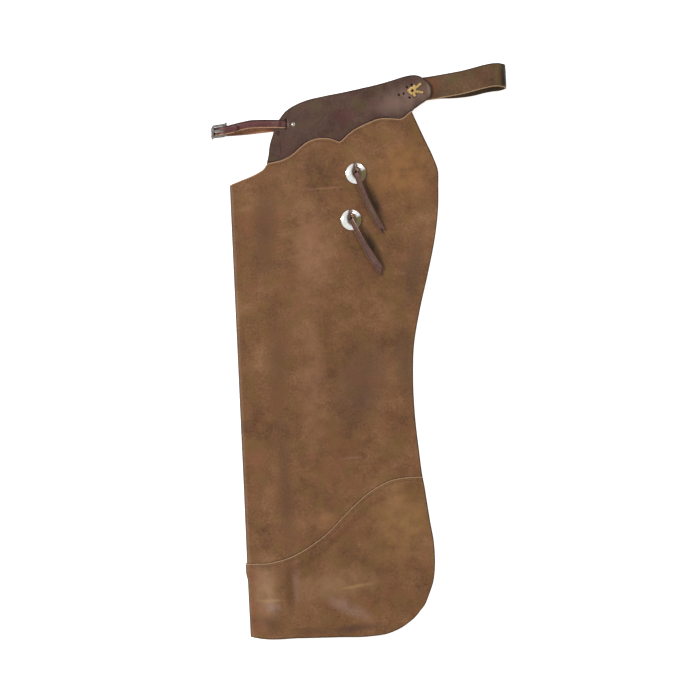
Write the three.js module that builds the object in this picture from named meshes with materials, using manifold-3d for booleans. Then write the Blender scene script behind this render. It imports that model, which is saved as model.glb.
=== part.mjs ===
// Batwing chaps, both legs folded together and lying flat: the near leg on top, the far leg mirrored below it.
// X runs from the front fold to the back, Y from the hem up to the waist, Z up; millimetres.
// Every piece of a leg is drawn with z as its height over the mid surface between the two legs. place() turns
// that height over for the far leg and adds the height of the mid surface, so both legs lie on one another.
import * as THREE from "three";
import { mergeVertices } from "three/addons/utils/BufferGeometryUtils.js";
import Module from "manifold-3d";

const wasm = await Module();
wasm.setup();

const CLEAR = 0.3;

const HEIGHT = 940;
const WIDTH = 340;
const LEG = {
  height: HEIGHT,
  width: WIDTH,
  seamWidth: WIDTH * 0.956,
  topWidth: WIDTH * 0.985,
  innerWidth: WIDTH * 0.565,
  innerDrop: HEIGHT * 0.05,
  thickness: 2.4,
  foldHollow: 10,
  foldSegments: 6,
};
const LAP = { depth: 12, ease: 18, start: 15, innerReach: 130, reach: 150 };
const YOKE = {
  thickness: 3,
  lap: 15,
  left: WIDTH * 0.206,
  topLeft: WIDTH * 0.279,
  right: WIDTH * 1.1,
  tipShare: 0.86,
  rise: 7,
};
const CONCHO = { radius: 18.6, edge: 1.2, height: 4.6, wall: 1.5, notch: 3.2 };
const STRING = { thickness: 2, slotLength: 9.4, slotWidth: 4.6, knot: 9, knotWidth: 8, fork: 3.6 };
const BELT = {
  width: 41.3,
  thickness: 3,
  start: WIDTH * 0.9,
  end: WIDTH * 1.493,
  turn: 16.5,
  loopHalf: 13,
  farDrop: 5,
};
const STRAP = {
  width: 15,
  thickness: 2.2,
  start: WIDTH * 0.379,
  slitX: WIDTH * 0.314,
  slitY: HEIGHT * 0.9862,
  slitWidth: 6.4,
};
const BUCKLE = { x: WIDTH * -0.044, y: HEIGHT * 0.9793, z: 4, length: 28, height: 27, wire: 3, corner: 4 };
const PRONG = { thickness: 1.6, width: 3, tip: 1.6, slotWidth: 4.2 };
const RIVET = { x: WIDTH * 0.354, y: HEIGHT * 0.9851, head: 3.8, headHeight: 1.5, shank: 1.5 };
const LEG_STRAP = { width: 24, thickness: 2, z: 3.5, end: 13, reachX: -82, reachY: -76 };

// The two conchos with their strings: where each sits, and the far end of its string.
const FASTENERS = [
  {
    name: "upper",
    x: WIDTH * 0.676,
    y: HEIGHT * 0.8843,
    tipX: WIDTH * 0.809,
    tipY: HEIGHT * 0.768,
    width: 9.5,
    endWidth: 10,
    forked: true,
  },
  {
    name: "lower",
    x: WIDTH * 0.6394,
    y: HEIGHT * 0.7954,
    tipX: WIDTH * 0.797,
    tipY: HEIGHT * 0.6872,
    width: 8.5,
    endWidth: 13,
    forked: false,
  },
];
// How the folded leather lies: shares of the leg's width and height between which each height changes.
const DRAPE = {
  flatFrom: 0.26,
  flatTo: 1.06,
  yokeFrom: 0.79,
  yokeTo: 0.945,
  liftLeft: 0.176,
  liftRight: 0.559,
  liftFrom: 0.49,
  liftTo: 0.68,
  backTo: 1.5,
  backLift: 0.9,
};

// Outlines: share of the width across, share of LEG.height up.
const HEM = [
  [0, 0.002], [0.069, -0.003], [0.299, -0.005], [0.541, -0.007], [0.722, -0.007], [0.85, -0.001],
  [0.937, 0.012], [1, 0.028],
];
const SEAM = [
  [0, 0.1435], [0.058, 0.1431], [0.113, 0.1429], [0.162, 0.1455], [0.23, 0.151], [0.303, 0.162],
  [0.384, 0.178], [0.47, 0.1995], [0.555, 0.228], [0.6055, 0.244], [0.665, 0.261], [0.715, 0.273],
  [0.764, 0.282], [0.812, 0.289], [0.897, 0.294], [1, 0.294],
];
const TOP = [
  [0, 0.8735], [0.058, 0.881], [0.113, 0.888], [0.162, 0.896], [0.191, 0.903], [0.207, 0.912],
  [0.23, 0.9135], [0.303, 0.919], [0.346, 0.927], [0.384, 0.938], [0.422, 0.948], [0.47, 0.9545],
  [0.513, 0.9556], [0.555, 0.9536], [0.6055, 0.946], [0.628, 0.953], [0.665, 0.964], [0.715, 0.974],
  [0.764, 0.981], [0.812, 0.987], [0.897, 0.987], [0.933, 0.985], [0.957, 0.988], [0.983, 0.996],
  [1, 1],
];
// The free back edge: share of LEG.height up, share of LEG.width across.
const FREE_EDGE = [
  [0.028, 0.88], [0.042, 0.919], [0.065, 0.954], [0.088, 0.979], [0.114, 0.994], [0.141, 0.999],
  [0.172, 0.995], [0.203, 0.984], [0.238, 0.974], [0.273, 0.965], [0.294, 0.957], [0.343, 0.945],
  [0.412, 0.932], [0.482, 0.931], [0.551, 0.945], [0.62, 0.986], [0.688, 1.037], [0.757, 1.083],
  [0.816, 1.107], [0.855, 1.112], [0.887, 1.113], [0.908, 1.1], [0.944, 1.051], [1, 0.986],
];
// The yoke: share of its width across, share of LEG.height up.
const YOKE_TOP = [
  [0, 0.9957], [0.014, 1.0013], [0.035, 1.0087], [0.068, 1.016], [0.115, 1.0231], [0.181, 1.0299],
  [0.292, 1.0361], [0.423, 1.0419], [0.541, 1.048], [0.652, 1.0541], [0.744, 1.0606], [0.829, 1.0671],
  [0.878, 1.069], [0.907, 1.0682], [0.929, 1.0659], [0.947, 1.0621], [0.975, 1.0551], [0.994, 1.0473],
  [1, 1.0432],
];
const YOKE_TIP = [
  [0.878, 1.0015], [0.907, 1.0077], [0.929, 1.0122], [0.947, 1.0158], [0.975, 1.0215], [0.994, 1.0282],
  [1, 1.0345],
];
// The yoke's front edge: share of its height up, distance in from the straight line between its corners.
const YOKE_FRONT = [
  [0, 0], [0.16, 5], [0.29, 5.2], [0.56, 7.1], [0.675, 5.9], [0.96, 1.8], [1, 0],
];
// The near half of the belt: share of its run to the fold, share of LEG.height up, how far it is open.
const BELT_RUN = [
  [0, 1.0356, 0], [0.169, 1.0394, 0], [0.357, 1.0434, 0], [0.417, 1.0449, 0.081], [0.491, 1.0468, 0.315],
  [0.606, 1.05, 0.586], [0.715, 1.0546, 0.8], [0.814, 1.0591, 0.955], [0.903, 1.0615, 1],
];
// Small holes punched round the lace, from its centre.
const LACE = {
  x: WIDTH * 0.9968,
  y: HEIGHT * 1.0386,
  ring: 6.2,
  width: 3.2,
  height: 1.6,
  hole: 1.5,
  pin: 1.1,
  pinShare: 0.9,
};
const LACE_HOLES = [
  [-0.8, 10.9], [-9.7, 6.8], [-16, -4.5], [-24.8, -6.3], [-5.8, -12.1], [3.1, -10.1],
];
const LACE_TAILS = [
  { x: 15.5, y: 11.8 },
  { x: 18.3, y: -4.2 },
];

/** Height on a table of [place, value] rows, straight between rows. */
function along(table, place) {
  if (place <= table[0][0]) return table[0][1];
  for (let i = 1; i < table.length; i += 1) {
    const [before, low] = table[i - 1];
    const [after, high] = table[i];
    if (place <= after) return low + ((high - low) * (place - before)) / (after - before);
  }
  return table[table.length - 1][1];
}

const smooth = (value, from, to) => THREE.MathUtils.smoothstep(value, from, to);
const mix = (a, b, share) => a + (b - a) * share;
const bell = (distance, reach) => 1 - smooth(Math.abs(distance), 0, reach);

const freeEdge = (y) => LEG.width * along(FREE_EDGE, y / LEG.height);
const seamHeight = (share) => LEG.height * along(SEAM, share);
const innerSeam = seamHeight(0);

/** Height of the inner half over the mid surface; it steps off where the lower panel laps round it. */
function innerRise(y) {
  const middle = innerSeam - LAP.depth / 2;
  const away = Math.max(Math.abs(y - middle) - LAP.ease, 0);
  return CLEAR + (LEG.thickness + CLEAR) * bell(away, LAP.innerReach);
}

/** Height of the flesh side of the outer half over the mid surface. */
function fleshHeight(x, y) {
  const atFold = innerRise(y) + LEG.thickness + LEG.foldHollow;
  const leg = mix(atFold, CLEAR, smooth(x / LEG.width, DRAPE.flatFrom, DRAPE.flatTo));
  return mix(leg, YOKE.rise, smooth(y / LEG.height, DRAPE.yokeFrom, DRAPE.yokeTo));
}

/** Height by which the lower leg is held off the ground by its conchos and by the lap of its seam. */
function groundLift(x, y) {
  const across = smooth(x / LEG.width, DRAPE.liftLeft, DRAPE.liftRight);
  const behind = DRAPE.backLift * smooth(x / LEG.width, DRAPE.liftRight, DRAPE.backTo);
  const upper = smooth(y / LEG.height, DRAPE.liftFrom, DRAPE.liftTo);
  const fromSeam = y - seamHeight(x / LEG.seamWidth) + LAP.depth / 2;
  return (2 * CONCHO.height * across + behind) * upper + (LEG.thickness + CLEAR) * bell(fromSeam, LAP.reach);
}

const midHeight = (x, y) => groundLift(x, y) + fleshHeight(x, y) + LEG.thickness;

/** Moves a drawn geometry to its leg: side 1 is the near leg, side -1 the far one. */
function place(geometry, side) {
  const placed = (geometry.index ? geometry.toNonIndexed() : geometry).clone();
  const position = placed.getAttribute("position");
  for (let i = 0; i < position.count; i += 1) {
    const x = position.getX(i);
    const y = position.getY(i);
    position.setZ(i, midHeight(x, y) + side * position.getZ(i));
  }
  if (side < 0) {
    const corner = new THREE.Vector3();
    const other = new THREE.Vector3();
    for (let i = 0; i < position.count; i += 3) {
      corner.fromBufferAttribute(position, i + 1);
      other.fromBufferAttribute(position, i + 2);
      position.setXYZ(i + 1, other.x, other.y, other.z);
      position.setXYZ(i + 2, corner.x, corner.y, corner.z);
    }
  }
  return placed;
}

/** A closed sheet from a grid of columns and rows: at(column, row, face) gives a point, face 1 grain, 0 flesh. */
function sheet(columns, rows, at) {
  const points = [];
  const faces = [];
  const index = (face, i, j) => (face * rows + j) * columns + i;
  for (const face of [0, 1])
    for (let j = 0; j < rows; j += 1)
      for (let i = 0; i < columns; i += 1) points.push(...at(i, j, face).toArray());
  const quad = (a, b, c, d) => faces.push(a, b, c, a, c, d);
  for (let j = 0; j + 1 < rows; j += 1)
    for (let i = 0; i + 1 < columns; i += 1) {
      quad(index(1, i, j), index(1, i + 1, j), index(1, i + 1, j + 1), index(1, i, j + 1));
      quad(index(0, i, j), index(0, i, j + 1), index(0, i + 1, j + 1), index(0, i + 1, j));
    }
  for (let i = 0; i + 1 < columns; i += 1) {
    quad(index(0, i, 0), index(0, i + 1, 0), index(1, i + 1, 0), index(1, i, 0));
    quad(index(1, i, rows - 1), index(1, i + 1, rows - 1), index(0, i + 1, rows - 1), index(0, i, rows - 1));
  }
  for (let j = 0; j + 1 < rows; j += 1) {
    quad(index(1, 0, j), index(1, 0, j + 1), index(0, 0, j + 1), index(0, 0, j));
    quad(index(0, columns - 1, j), index(0, columns - 1, j + 1), index(1, columns - 1, j + 1), index(1, columns - 1, j));
  }
  const geometry = new THREE.BufferGeometry();
  geometry.setAttribute("position", new THREE.Float32BufferAttribute(points, 3));
  geometry.setIndex(faces);
  return geometry;
}

/** The shares of the main table past a start, and those of the other table that are a gap away from them. */
function stations(main, other, from, gap) {
  const kept = main.map(([share]) => share).filter((share) => share > from);
  for (const [share] of other)
    if (share > from && kept.every((taken) => Math.abs(taken - share) > gap)) kept.push(share);
  return kept.sort((a, b) => a - b);
}

/** One folded leg panel between two outlines; rows give share, distance down and lift over the leg. */
function foldedPanel(lower, upper, innerLower, innerUpper, rows) {
  const inner = [1, 0.84, 0.68, 0.53, 0.38, 0.2];
  const fold = Array.from({ length: LEG.foldSegments + 1 }, (_, i) => -90 + (180 * i) / LEG.foldSegments);
  const outer = stations(upper, lower, 0.05, 0.03);
  const columns = [
    ...inner.map((share) => ({ part: "inner", share })),
    ...fold.map((degrees) => ({ part: "fold", angle: THREE.MathUtils.degToRad(degrees) })),
    ...outer.map((share) => ({ part: "outer", share })),
  ];
  const outerY = (share, row) => LEG.height * mix(along(lower, share), along(upper, share), row.share) - row.down;
  const innerY = (share, row) => mix(innerLower(share), innerUpper(share), row.share) - row.down;
  const at = (i, j, face) => {
    const column = columns[i];
    const row = rows[j];
    const offset = row.lift * (LEG.thickness + CLEAR) - (face ? 0 : LEG.thickness);
    const width = freeEdge(outerY(1, row));
    if (column.part === "outer") {
      const x = column.share * width;
      const y = outerY(column.share, row);
      return new THREE.Vector3(x, y, fleshHeight(x, y) + LEG.thickness + offset);
    }
    if (column.part === "inner") {
      const y = innerY(column.share, row);
      return new THREE.Vector3(column.share * LEG.innerWidth, y, innerRise(y) - offset);
    }
    const across = (y) => {
      const radius = (fleshHeight(0, y) + LEG.thickness - innerRise(y)) / 2;
      return { radius, x: radius - (radius + offset) * Math.cos(column.angle) };
    };
    const near = across(outerY(0, row));
    const run = Math.max(near.x, 0);
    const y = column.angle > 0 ? outerY(run / width, row) : innerY(run / LEG.innerWidth, row);
    const { radius, x } = across(y);
    return new THREE.Vector3(x, y, innerRise(y) + radius + (radius + offset) * Math.sin(column.angle));
  };
  return sheet(columns.length, rows.length, at);
}

function upperPanel() {
  const rows = [
    { share: 0, down: LAP.depth, lift: 0 },
    ...[0, 0.06, 0.15, 0.26, 0.38, 0.5, 0.62, 0.74, 0.85, 0.94, 1].map((share) => ({ share, down: 0, lift: 0 })),
  ];
  const innerTop = (share) => LEG.height * along(TOP, 0) - LEG.innerDrop * share;
  return foldedPanel(SEAM, TOP, () => innerSeam, innerTop, rows);
}

function lowerPanel() {
  const rows = [
    ...[0, 0.06, 0.2, 0.4, 0.6].map((share) => ({ share, down: 0, lift: 0 })),
    { share: 1, down: LAP.start + LAP.ease, lift: 0 },
    { share: 1, down: LAP.start, lift: 1 },
    { share: 1, down: 0, lift: 1 },
  ];
  const innerHem = (share) => LEG.height * along(HEM, 0) * (1 - share);
  return foldedPanel(HEM, SEAM, innerHem, () => innerSeam, rows);
}

function yoke() {
  const lowerEdge = (share) => {
    const x = mix(YOKE.left, YOKE.right, share);
    if (share < YOKE.tipShare) return LEG.height * along(TOP, x / LEG.topWidth) - YOKE.lap;
    return LEG.height * along(YOKE_TIP, share);
  };
  const hidden = TOP.map(([share]) => [(share * LEG.topWidth - YOKE.left) / (YOKE.right - YOKE.left)]);
  const under = hidden.filter(([share]) => share < YOKE.tipShare - 0.02);
  const columns = [0, ...stations(YOKE_TOP, under, 0, 0.03)];
  const rows = [0, 0.16, 0.29, 0.56, 0.75, 0.96, 1];
  return sheet(columns.length, rows.length, (i, j, face) => {
    const share = columns[i];
    const v = rows[j];
    const left = mix(YOKE.left, YOKE.topLeft, v) - along(YOKE_FRONT, v);
    const x = mix(left, YOKE.right, share);
    const y = mix(lowerEdge(share), LEG.height * along(YOKE_TOP, share), v);
    const grain = fleshHeight(x, y) - CLEAR;
    return new THREE.Vector3(x, y, face ? grain : grain - YOKE.thickness);
  });
}

/** A flat band along a path; each station has x, y, z, a width, and optionally the direction across. */
function band(path, thickness) {
  const point = (k) => new THREE.Vector3(path[k].x, path[k].y, path[k].z);
  const columns = path.length;
  return sheet(columns, 2, (i, j, face) => {
    const before = point(Math.max(i - 1, 0));
    const after = point(Math.min(i + 1, columns - 1));
    const across = new THREE.Vector3(path[i].acrossX ?? 0, path[i].acrossY ?? 1, 0).normalize();
    const run = after.sub(before).normalize();
    const normal = new THREE.Vector3().crossVectors(run, across).normalize();
    return point(i)
      .addScaledVector(across, (j - 0.5) * path[i].width)
      .addScaledVector(normal, (face - 0.5) * thickness);
  });
}

/** Points round a bend of the given radii, from one angle in degrees to another. */
function bend(centre, radiusX, radiusZ, from, to, steps) {
  return Array.from({ length: steps }, (_, i) => {
    const angle = THREE.MathUtils.degToRad(mix(from, to, i / (steps - 1)));
    return { ...centre, x: centre.x - radiusX * Math.cos(angle), z: centre.z + radiusZ * Math.sin(angle) };
  });
}

const ofWidth = (path, width) => path.map((station) => ({ ...station, width }));

/** One band from the near yoke to the fold at the back and round to the far yoke. */
function belt() {
  const under = BELT.thickness / 2 + CLEAR + 0.1;
  const near = BELT_RUN.map(([share, up, open]) => ({
    x: mix(BELT.start, BELT.end, share),
    y: LEG.height * up,
    z: mix(under, BELT.loopHalf, open),
  }));
  const far = near.map(({ x, y, z }, i) => ({ x, y: y - BELT.farDrop * Math.min(BELT_RUN[i][2] * 1.25, 1), z: -z }));
  const centre = { x: BELT.end - BELT.turn, y: mix(near.at(-1).y, far.at(-1).y, 0.5), z: 0 };
  const turn = bend(centre, -BELT.turn, BELT.loopHalf, 75, -75, 7);
  return band(ofWidth([...near, ...turn, ...far.reverse()], BELT.width), BELT.thickness);
}

const STRAP_OVER = YOKE.rise + STRAP.thickness / 2;
const FAR_BAR = BUCKLE.x - (BUCKLE.length - BUCKLE.wire) / 2;
const NEAR_BAR = BUCKLE.x + (BUCKLE.length - BUCKLE.wire) / 2;
const WRAP = BUCKLE.wire / 2 + STRAP.thickness;

/** The strap's end under the yoke, up through the slit and over the yoke's front edge, ending at a height. */
function strapOverYoke(endY) {
  const below = YOKE.rise - YOKE.thickness - 3 * CLEAR - STRAP.thickness / 2;
  const x = STRAP.slitX;
  const y = STRAP.slitY;
  return [
    { x: STRAP.start, y, z: below },
    { x: x + 9, y, z: below },
    { x: x + 4.6, y, z: below },
    { x: x + 1.8, y, z: below + 0.5 },
    { x: x + 0.5, y, z: below + 1.9 },
    { x: x - 0.5, y, z: STRAP_OVER - 1.9 },
    { x: x - 1.8, y, z: STRAP_OVER - 0.5 },
    { x: x - 4.6, y, z: STRAP_OVER },
    { x: x - 9, y: mix(y, endY, 0.35), z: STRAP_OVER },
    { x: mix(x, NEAR_BAR, 0.25), y: mix(y, endY, 0.53), z: STRAP_OVER },
    { x: mix(x, NEAR_BAR, 0.41), y: mix(y, endY, 0.7), z: STRAP_OVER },
  ];
}

/** The near half of the front strap, wrapped round the buckle's near bar and turned back under itself. */
function frontStrap() {
  const y = BUCKLE.y + 1;
  const path = [
    ...strapOverYoke(STRAP.slitY),
    { x: mix(STRAP.slitX, NEAR_BAR, 0.59), y: STRAP.slitY, z: STRAP_OVER },
    { x: mix(STRAP.slitX, NEAR_BAR, 0.76), y: mix(STRAP.slitY, y, 0.4), z: BUCKLE.z + WRAP },
    { x: mix(STRAP.slitX, NEAR_BAR, 0.9), y: mix(STRAP.slitY, y, 0.75), z: BUCKLE.z + WRAP },
    ...bend({ x: NEAR_BAR, y, z: BUCKLE.z }, WRAP, WRAP, 80, -80, 5),
    { x: mix(STRAP.slitX, NEAR_BAR, 0.9), y: y + 1, z: BUCKLE.z - WRAP },
    { x: mix(STRAP.slitX, NEAR_BAR, 0.78), y: y + 2, z: BUCKLE.z - WRAP + 0.7 },
  ];
  return band(ofWidth(path, STRAP.width), STRAP.thickness);
}

/** The far half of the front strap: it turns up at the front, passes under the far bar and over the near one. */
function frontBillet() {
  const y = BUCKLE.y - 1;
  const under = BUCKLE.z - BUCKLE.wire / 2 - CLEAR - STRAP.thickness / 2;
  const over = BUCKLE.z + WRAP + STRAP.thickness + 2 * CLEAR;
  const low = -STRAP_OVER;
  const radius = (under - low) / 2;
  const path = [
    ...strapOverYoke(y).map((station) => ({ ...station, z: -station.z })),
    { x: mix(STRAP.slitX, FAR_BAR, 0.48), y: y + 0.8, z: low },
    { x: mix(STRAP.slitX, FAR_BAR, 0.63), y, z: low },
    { x: mix(STRAP.slitX, FAR_BAR, 0.8), y: y - 0.5, z: low },
    { x: mix(STRAP.slitX, FAR_BAR, 0.92), y: y - 0.3, z: low },
    ...bend({ x: FAR_BAR + 0.5, y, z: (under + low) / 2 }, radius, radius, -80, 80, 6),
    { x: mix(FAR_BAR, NEAR_BAR, 0.14), y: y + 0.4, z: under + 0.3 },
    { x: mix(FAR_BAR, NEAR_BAR, 0.64), y: y + 1, z: mix(under, over, 0.74) },
    { x: mix(FAR_BAR, NEAR_BAR, 0.84), y: y + 1.5, z: mix(under, over, 0.94) },
    { x: mix(FAR_BAR, NEAR_BAR, 1.18), y: y + 2.3, z: over },
    { x: mix(FAR_BAR, NEAR_BAR, 1.66), y: y + 4.5, z: over },
  ];
  const tip = { x: mix(FAR_BAR, NEAR_BAR, 1.94), y: y + 5.3, z: over, width: STRAP.width * 0.4 };
  return band([...ofWidth(path, STRAP.width), tip], STRAP.thickness);
}

function roundedRectangle(target, length, height, radius) {
  const x = length / 2;
  const y = height / 2;
  target.moveTo(-x + radius, -y);
  target.lineTo(x - radius, -y);
  target.absarc(x - radius, -y + radius, radius, -Math.PI / 2, 0);
  target.lineTo(x, y - radius);
  target.absarc(x - radius, y - radius, radius, 0, Math.PI / 2);
  target.lineTo(-x + radius, y);
  target.absarc(-x + radius, y - radius, radius, Math.PI / 2, Math.PI);
  target.lineTo(-x, -y + radius);
  target.absarc(-x + radius, -y + radius, radius, Math.PI, Math.PI * 1.5);
  return target;
}

function buckleFrame() {
  const { length, height, wire, corner } = BUCKLE;
  const outline = roundedRectangle(new THREE.Shape(), length, height, corner);
  outline.holes.push(roundedRectangle(new THREE.Path(), length - 2 * wire, height - 2 * wire, corner / 2));
  const frame = new THREE.ExtrudeGeometry(outline, { depth: wire, bevelEnabled: false, curveSegments: 3 });
  return frame.translate(BUCKLE.x, BUCKLE.y, BUCKLE.z - wire / 2);
}

/** The prong lies on both bars; its root hooks down over the bar that the strap is wrapped round. */
function buckleProng() {
  const { y, z, wire } = BUCKLE;
  const { thickness, width, tip } = PRONG;
  const away = wire / 2 + CLEAR + thickness / 2;
  const path = [
    { x: NEAR_BAR + away, y, z: z - wire * 0.4, width },
    { x: NEAR_BAR + away, y, z: z + wire * 0.4, width },
    { x: NEAR_BAR + away - 0.7, y, z: z + away - 0.3, width },
    { x: NEAR_BAR, y, z: z + away, width },
    { x: FAR_BAR + wire * 0.8, y, z: z + away, width },
    { x: FAR_BAR - wire * 0.8, y, z: z + away, width: tip },
  ];
  return band(path, thickness);
}

/** A domed concho, hollow below, standing on the grain side at x, y. */
function concho({ x, y }) {
  const { radius, edge, height, wall } = CONCHO;
  const outside = [
    [1, 0], [1, edge / height], [0.9, 0.56], [0.68, 0.82], [0.36, 0.96], [0, 1],
  ];
  const profile = [
    [0, height - wall],
    [radius * 0.62, height * 0.84 - wall],
    [radius * 0.9, 0],
    ...outside.map(([across, up]) => [radius * across, height * up]),
  ].map(([across, up]) => new THREE.Vector2(across, up));
  const dome = new THREE.LatheGeometry(profile, 18).rotateX(Math.PI / 2);
  return mergeVertices(onGrain(dome.translate(x, y, 0)), 1e-4);
}

/** Sets a geometry drawn from height 0 on the grain side of the near leg. */
function onGrain(geometry) {
  const position = geometry.getAttribute("position");
  for (let i = 0; i < position.count; i += 1) {
    const x = position.getX(i);
    const y = position.getY(i);
    position.setZ(i, position.getZ(i) + fleshHeight(x, y) + LEG.thickness + 2 * CLEAR);
  }
  geometry.deleteAttribute("normal");
  geometry.deleteAttribute("uv");
  return geometry;
}

/** The string comes up through the concho, lies over its rim and down along the panel to its tip. */
function string({ x, y, tipX, tipY, width, endWidth, forked }) {
  const run = new THREE.Vector2(tipX - x, tipY - y);
  const length = run.length();
  run.normalize();
  const grain = fleshHeight(x, y) + LEG.thickness + 2 * CLEAR;
  const knot = LEG_STRAP.z - 2 * CLEAR - STRING.thickness / 2 - grain;
  const over = CONCHO.height + STRING.thickness;
  const path = [
    { along: -STRING.knot, up: knot, width: STRING.knotWidth },
    { along: -4, up: knot, width: STRING.knotWidth },
    { along: -1.2, up: knot + 0.5, width: STRING.knotWidth },
    { along: 0, up: knot + 2, width: STRING.knotWidth },
    { along: 0, up: over - 3, width: STRING.knotWidth },
    { along: 1.2, up: over - 1, width: STRING.knotWidth },
    { along: 4, up: over - 0.2, width: width * 0.9 },
    { along: CONCHO.radius * 0.7, up: over - 1, width },
    { along: CONCHO.radius + 2, up: over - 2.7, width },
    { along: CONCHO.radius + 14, up: over - 3.8, width },
    { along: length * 0.5, up: 4, width: mix(width, endWidth, 0.6) },
    { along: length * 0.75, up: 3.6, width: endWidth },
    { along: length * 0.88, up: 2.6, width: endWidth * 0.8 },
    { along: length, up: 1.8, width: endWidth * (forked ? 0.7 : 0.12) },
  ];
  const stations3d = path.map(({ along: s, up, width: across }) => ({
    x: x + run.x * s,
    y: y + run.y * s,
    z: up,
    width: across,
    acrossX: -run.y,
    acrossY: run.x,
  }));
  return onGrain(band(stations3d, STRING.thickness));
}

/** A hidden strap from the back of a concho to the inner half of the leg. */
function legStrap({ x, y }) {
  const { width, thickness, z, end, reachX, reachY } = LEG_STRAP;
  const angle = Math.atan2(reachY, reachX);
  const start = 5 - end;
  const steps = 8;
  const run = Array.from({ length: steps + 1 }, (_, i) => mix(start, Math.hypot(reachX, reachY), i / steps));
  const path = [-end, ...run].map((s) => ({
    x: x + s * Math.cos(angle),
    y: y + s * Math.sin(angle),
    z: z + thickness / 2,
    width: s < start ? width * 0.5 : width,
    acrossX: -Math.sin(angle),
    acrossY: Math.cos(angle),
  }));
  return band(path, thickness);
}

function rivet() {
  const { head, headHeight, shank } = RIVET;
  const top = YOKE.rise;
  const foot = YOKE.rise - YOKE.thickness - 2 * CLEAR - STRAP.thickness + 0.4;
  const profile = [
    [0, foot],
    [shank, foot],
    [shank, top],
    [head, top],
    [head * 0.9, top + headHeight * 0.6],
    [head * 0.5, top + headHeight],
    [0, top + headHeight],
  ].map(([across, up]) => new THREE.Vector2(across, up));
  const turned = new THREE.LatheGeometry(profile, 12).rotateX(Math.PI / 2).translate(RIVET.x, RIVET.y, 0);
  turned.deleteAttribute("normal");
  turned.deleteAttribute("uv");
  return mergeVertices(turned, 1e-4);
}

/** The lace on the back tip: a ring round one hole, two tails over the yoke and a pin down through the belt. */
function lace(side) {
  const top = YOKE.rise;
  const { x, y, ring, width, height, pin, pinShare } = LACE;
  const pegTop = top + height * 0.5;
  const pegFoot = 0.5;
  const profile = [
    [ring - width, top],
    [ring, top],
    [ring, top + height],
    [ring - width, top + height],
    [ring - width, top],
  ].map(([across, up]) => new THREE.Vector2(across, up));
  const pieces = [new THREE.LatheGeometry(profile, 12).rotateX(Math.PI / 2)];
  for (const tail of LACE_TAILS) {
    const length = Math.hypot(tail.x, tail.y);
    const angle = Math.atan2(tail.y, tail.x);
    const start = ring - width / 2;
    const strip = new THREE.BoxGeometry(length - start, width, height, 3, 1, 1);
    strip.translate((length + start) / 2, 0, top + height / 2);
    pieces.push(strip.rotateZ(angle));
    const peg = new THREE.CylinderGeometry(pin, pin, pegTop - pegFoot, 8).rotateX(Math.PI / 2);
    pieces.push(peg.translate(tail.x * pinShare, tail.y * pinShare, (pegTop + pegFoot) / 2));
  }
  const solids = pieces.map((piece) => {
    piece.translate(x, y, 0);
    return solidOf(place(piece, side));
  });
  return geometryOf(wasm.Manifold.union(solids));
}

function solidOf(geometry) {
  const bare = new THREE.BufferGeometry();
  bare.setAttribute("position", geometry.getAttribute("position").clone());
  if (geometry.index) bare.setIndex(geometry.index.clone());
  const merged = mergeVertices(bare, 1e-3);
  const mesh = new wasm.Mesh({
    numProp: 3,
    vertProperties: new Float32Array(merged.getAttribute("position").array),
    triVerts: new Uint32Array(merged.index.array),
  });
  return new wasm.Manifold(mesh);
}

function geometryOf(solid) {
  const mesh = solid.getMesh();
  const geometry = new THREE.BufferGeometry();
  geometry.setAttribute("position", new THREE.Float32BufferAttribute(mesh.vertProperties, 3));
  geometry.setIndex(new THREE.Uint32BufferAttribute(mesh.triVerts, 1));
  return geometry;
}

const UPRIGHT = 200;

function uprightSlot(x, y, length, width, angle = 0) {
  const box = new THREE.BoxGeometry(length, width, UPRIGHT);
  return solidOf(box.rotateZ(angle).translate(x, y, 0));
}

function uprightHole(x, y, radius) {
  return solidOf(new THREE.CylinderGeometry(radius, radius, UPRIGHT, 8).rotateX(Math.PI / 2).translate(x, y, 0));
}

function cut(geometry, tools) {
  return geometryOf(tools.reduce((solid, tool) => solid.subtract(tool), solidOf(geometry)));
}

/** The slot that a string passes through, in the concho, the panel and the leg strap. */
function stringSlot({ x, y, tipX, tipY }) {
  const angle = Math.atan2(tipY - y, tipX - x) + Math.PI / 2;
  return uprightSlot(x, y, STRING.slotLength, STRING.slotWidth, angle);
}

/** The notch between the two points of a forked tip. */
function forkNotch({ x, y, tipX, tipY }) {
  const angle = Math.atan2(tipY - y, tipX - x) + Math.PI / 4;
  return uprightSlot(tipX, tipY, STRING.fork, STRING.fork, angle);
}

const slots = FASTENERS.map(stringSlot);
const rivetHole = uprightHole(RIVET.x, RIVET.y, RIVET.shank + CLEAR);
const tailHoles = LACE_TAILS.map(({ x, y }) =>
  uprightHole(LACE.x + x * LACE.pinShare, LACE.y + y * LACE.pinShare, LACE.pin + CLEAR),
);
const smallHoles = LACE_HOLES.map(([x, y]) => uprightHole(LACE.x + x, LACE.y + y, LACE.hole));
const centreHole = uprightHole(LACE.x, LACE.y, LACE.hole);
const slit = uprightSlot(STRAP.slitX, STRAP.slitY, STRAP.slitWidth, STRAP.width + 2.4);

const group = new THREE.Group();
group.name = "batwing_chaps";

const LEATHER = new THREE.MeshStandardMaterial({ color: 0x7a5a40, roughness: 0.6 });
const DARK_LEATHER = new THREE.MeshStandardMaterial({ color: 0x5b453c, roughness: 0.55 });
const SILVER = new THREE.MeshStandardMaterial({ color: 0xd8d8d6, metalness: 1, roughness: 0.25 });
const TAN = new THREE.MeshStandardMaterial({ color: 0xc9a15a, roughness: 0.7 });

function add(name, geometry, material) {
  const mesh = new THREE.Mesh(geometry, material);
  mesh.name = name;
  group.add(mesh);
}

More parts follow.
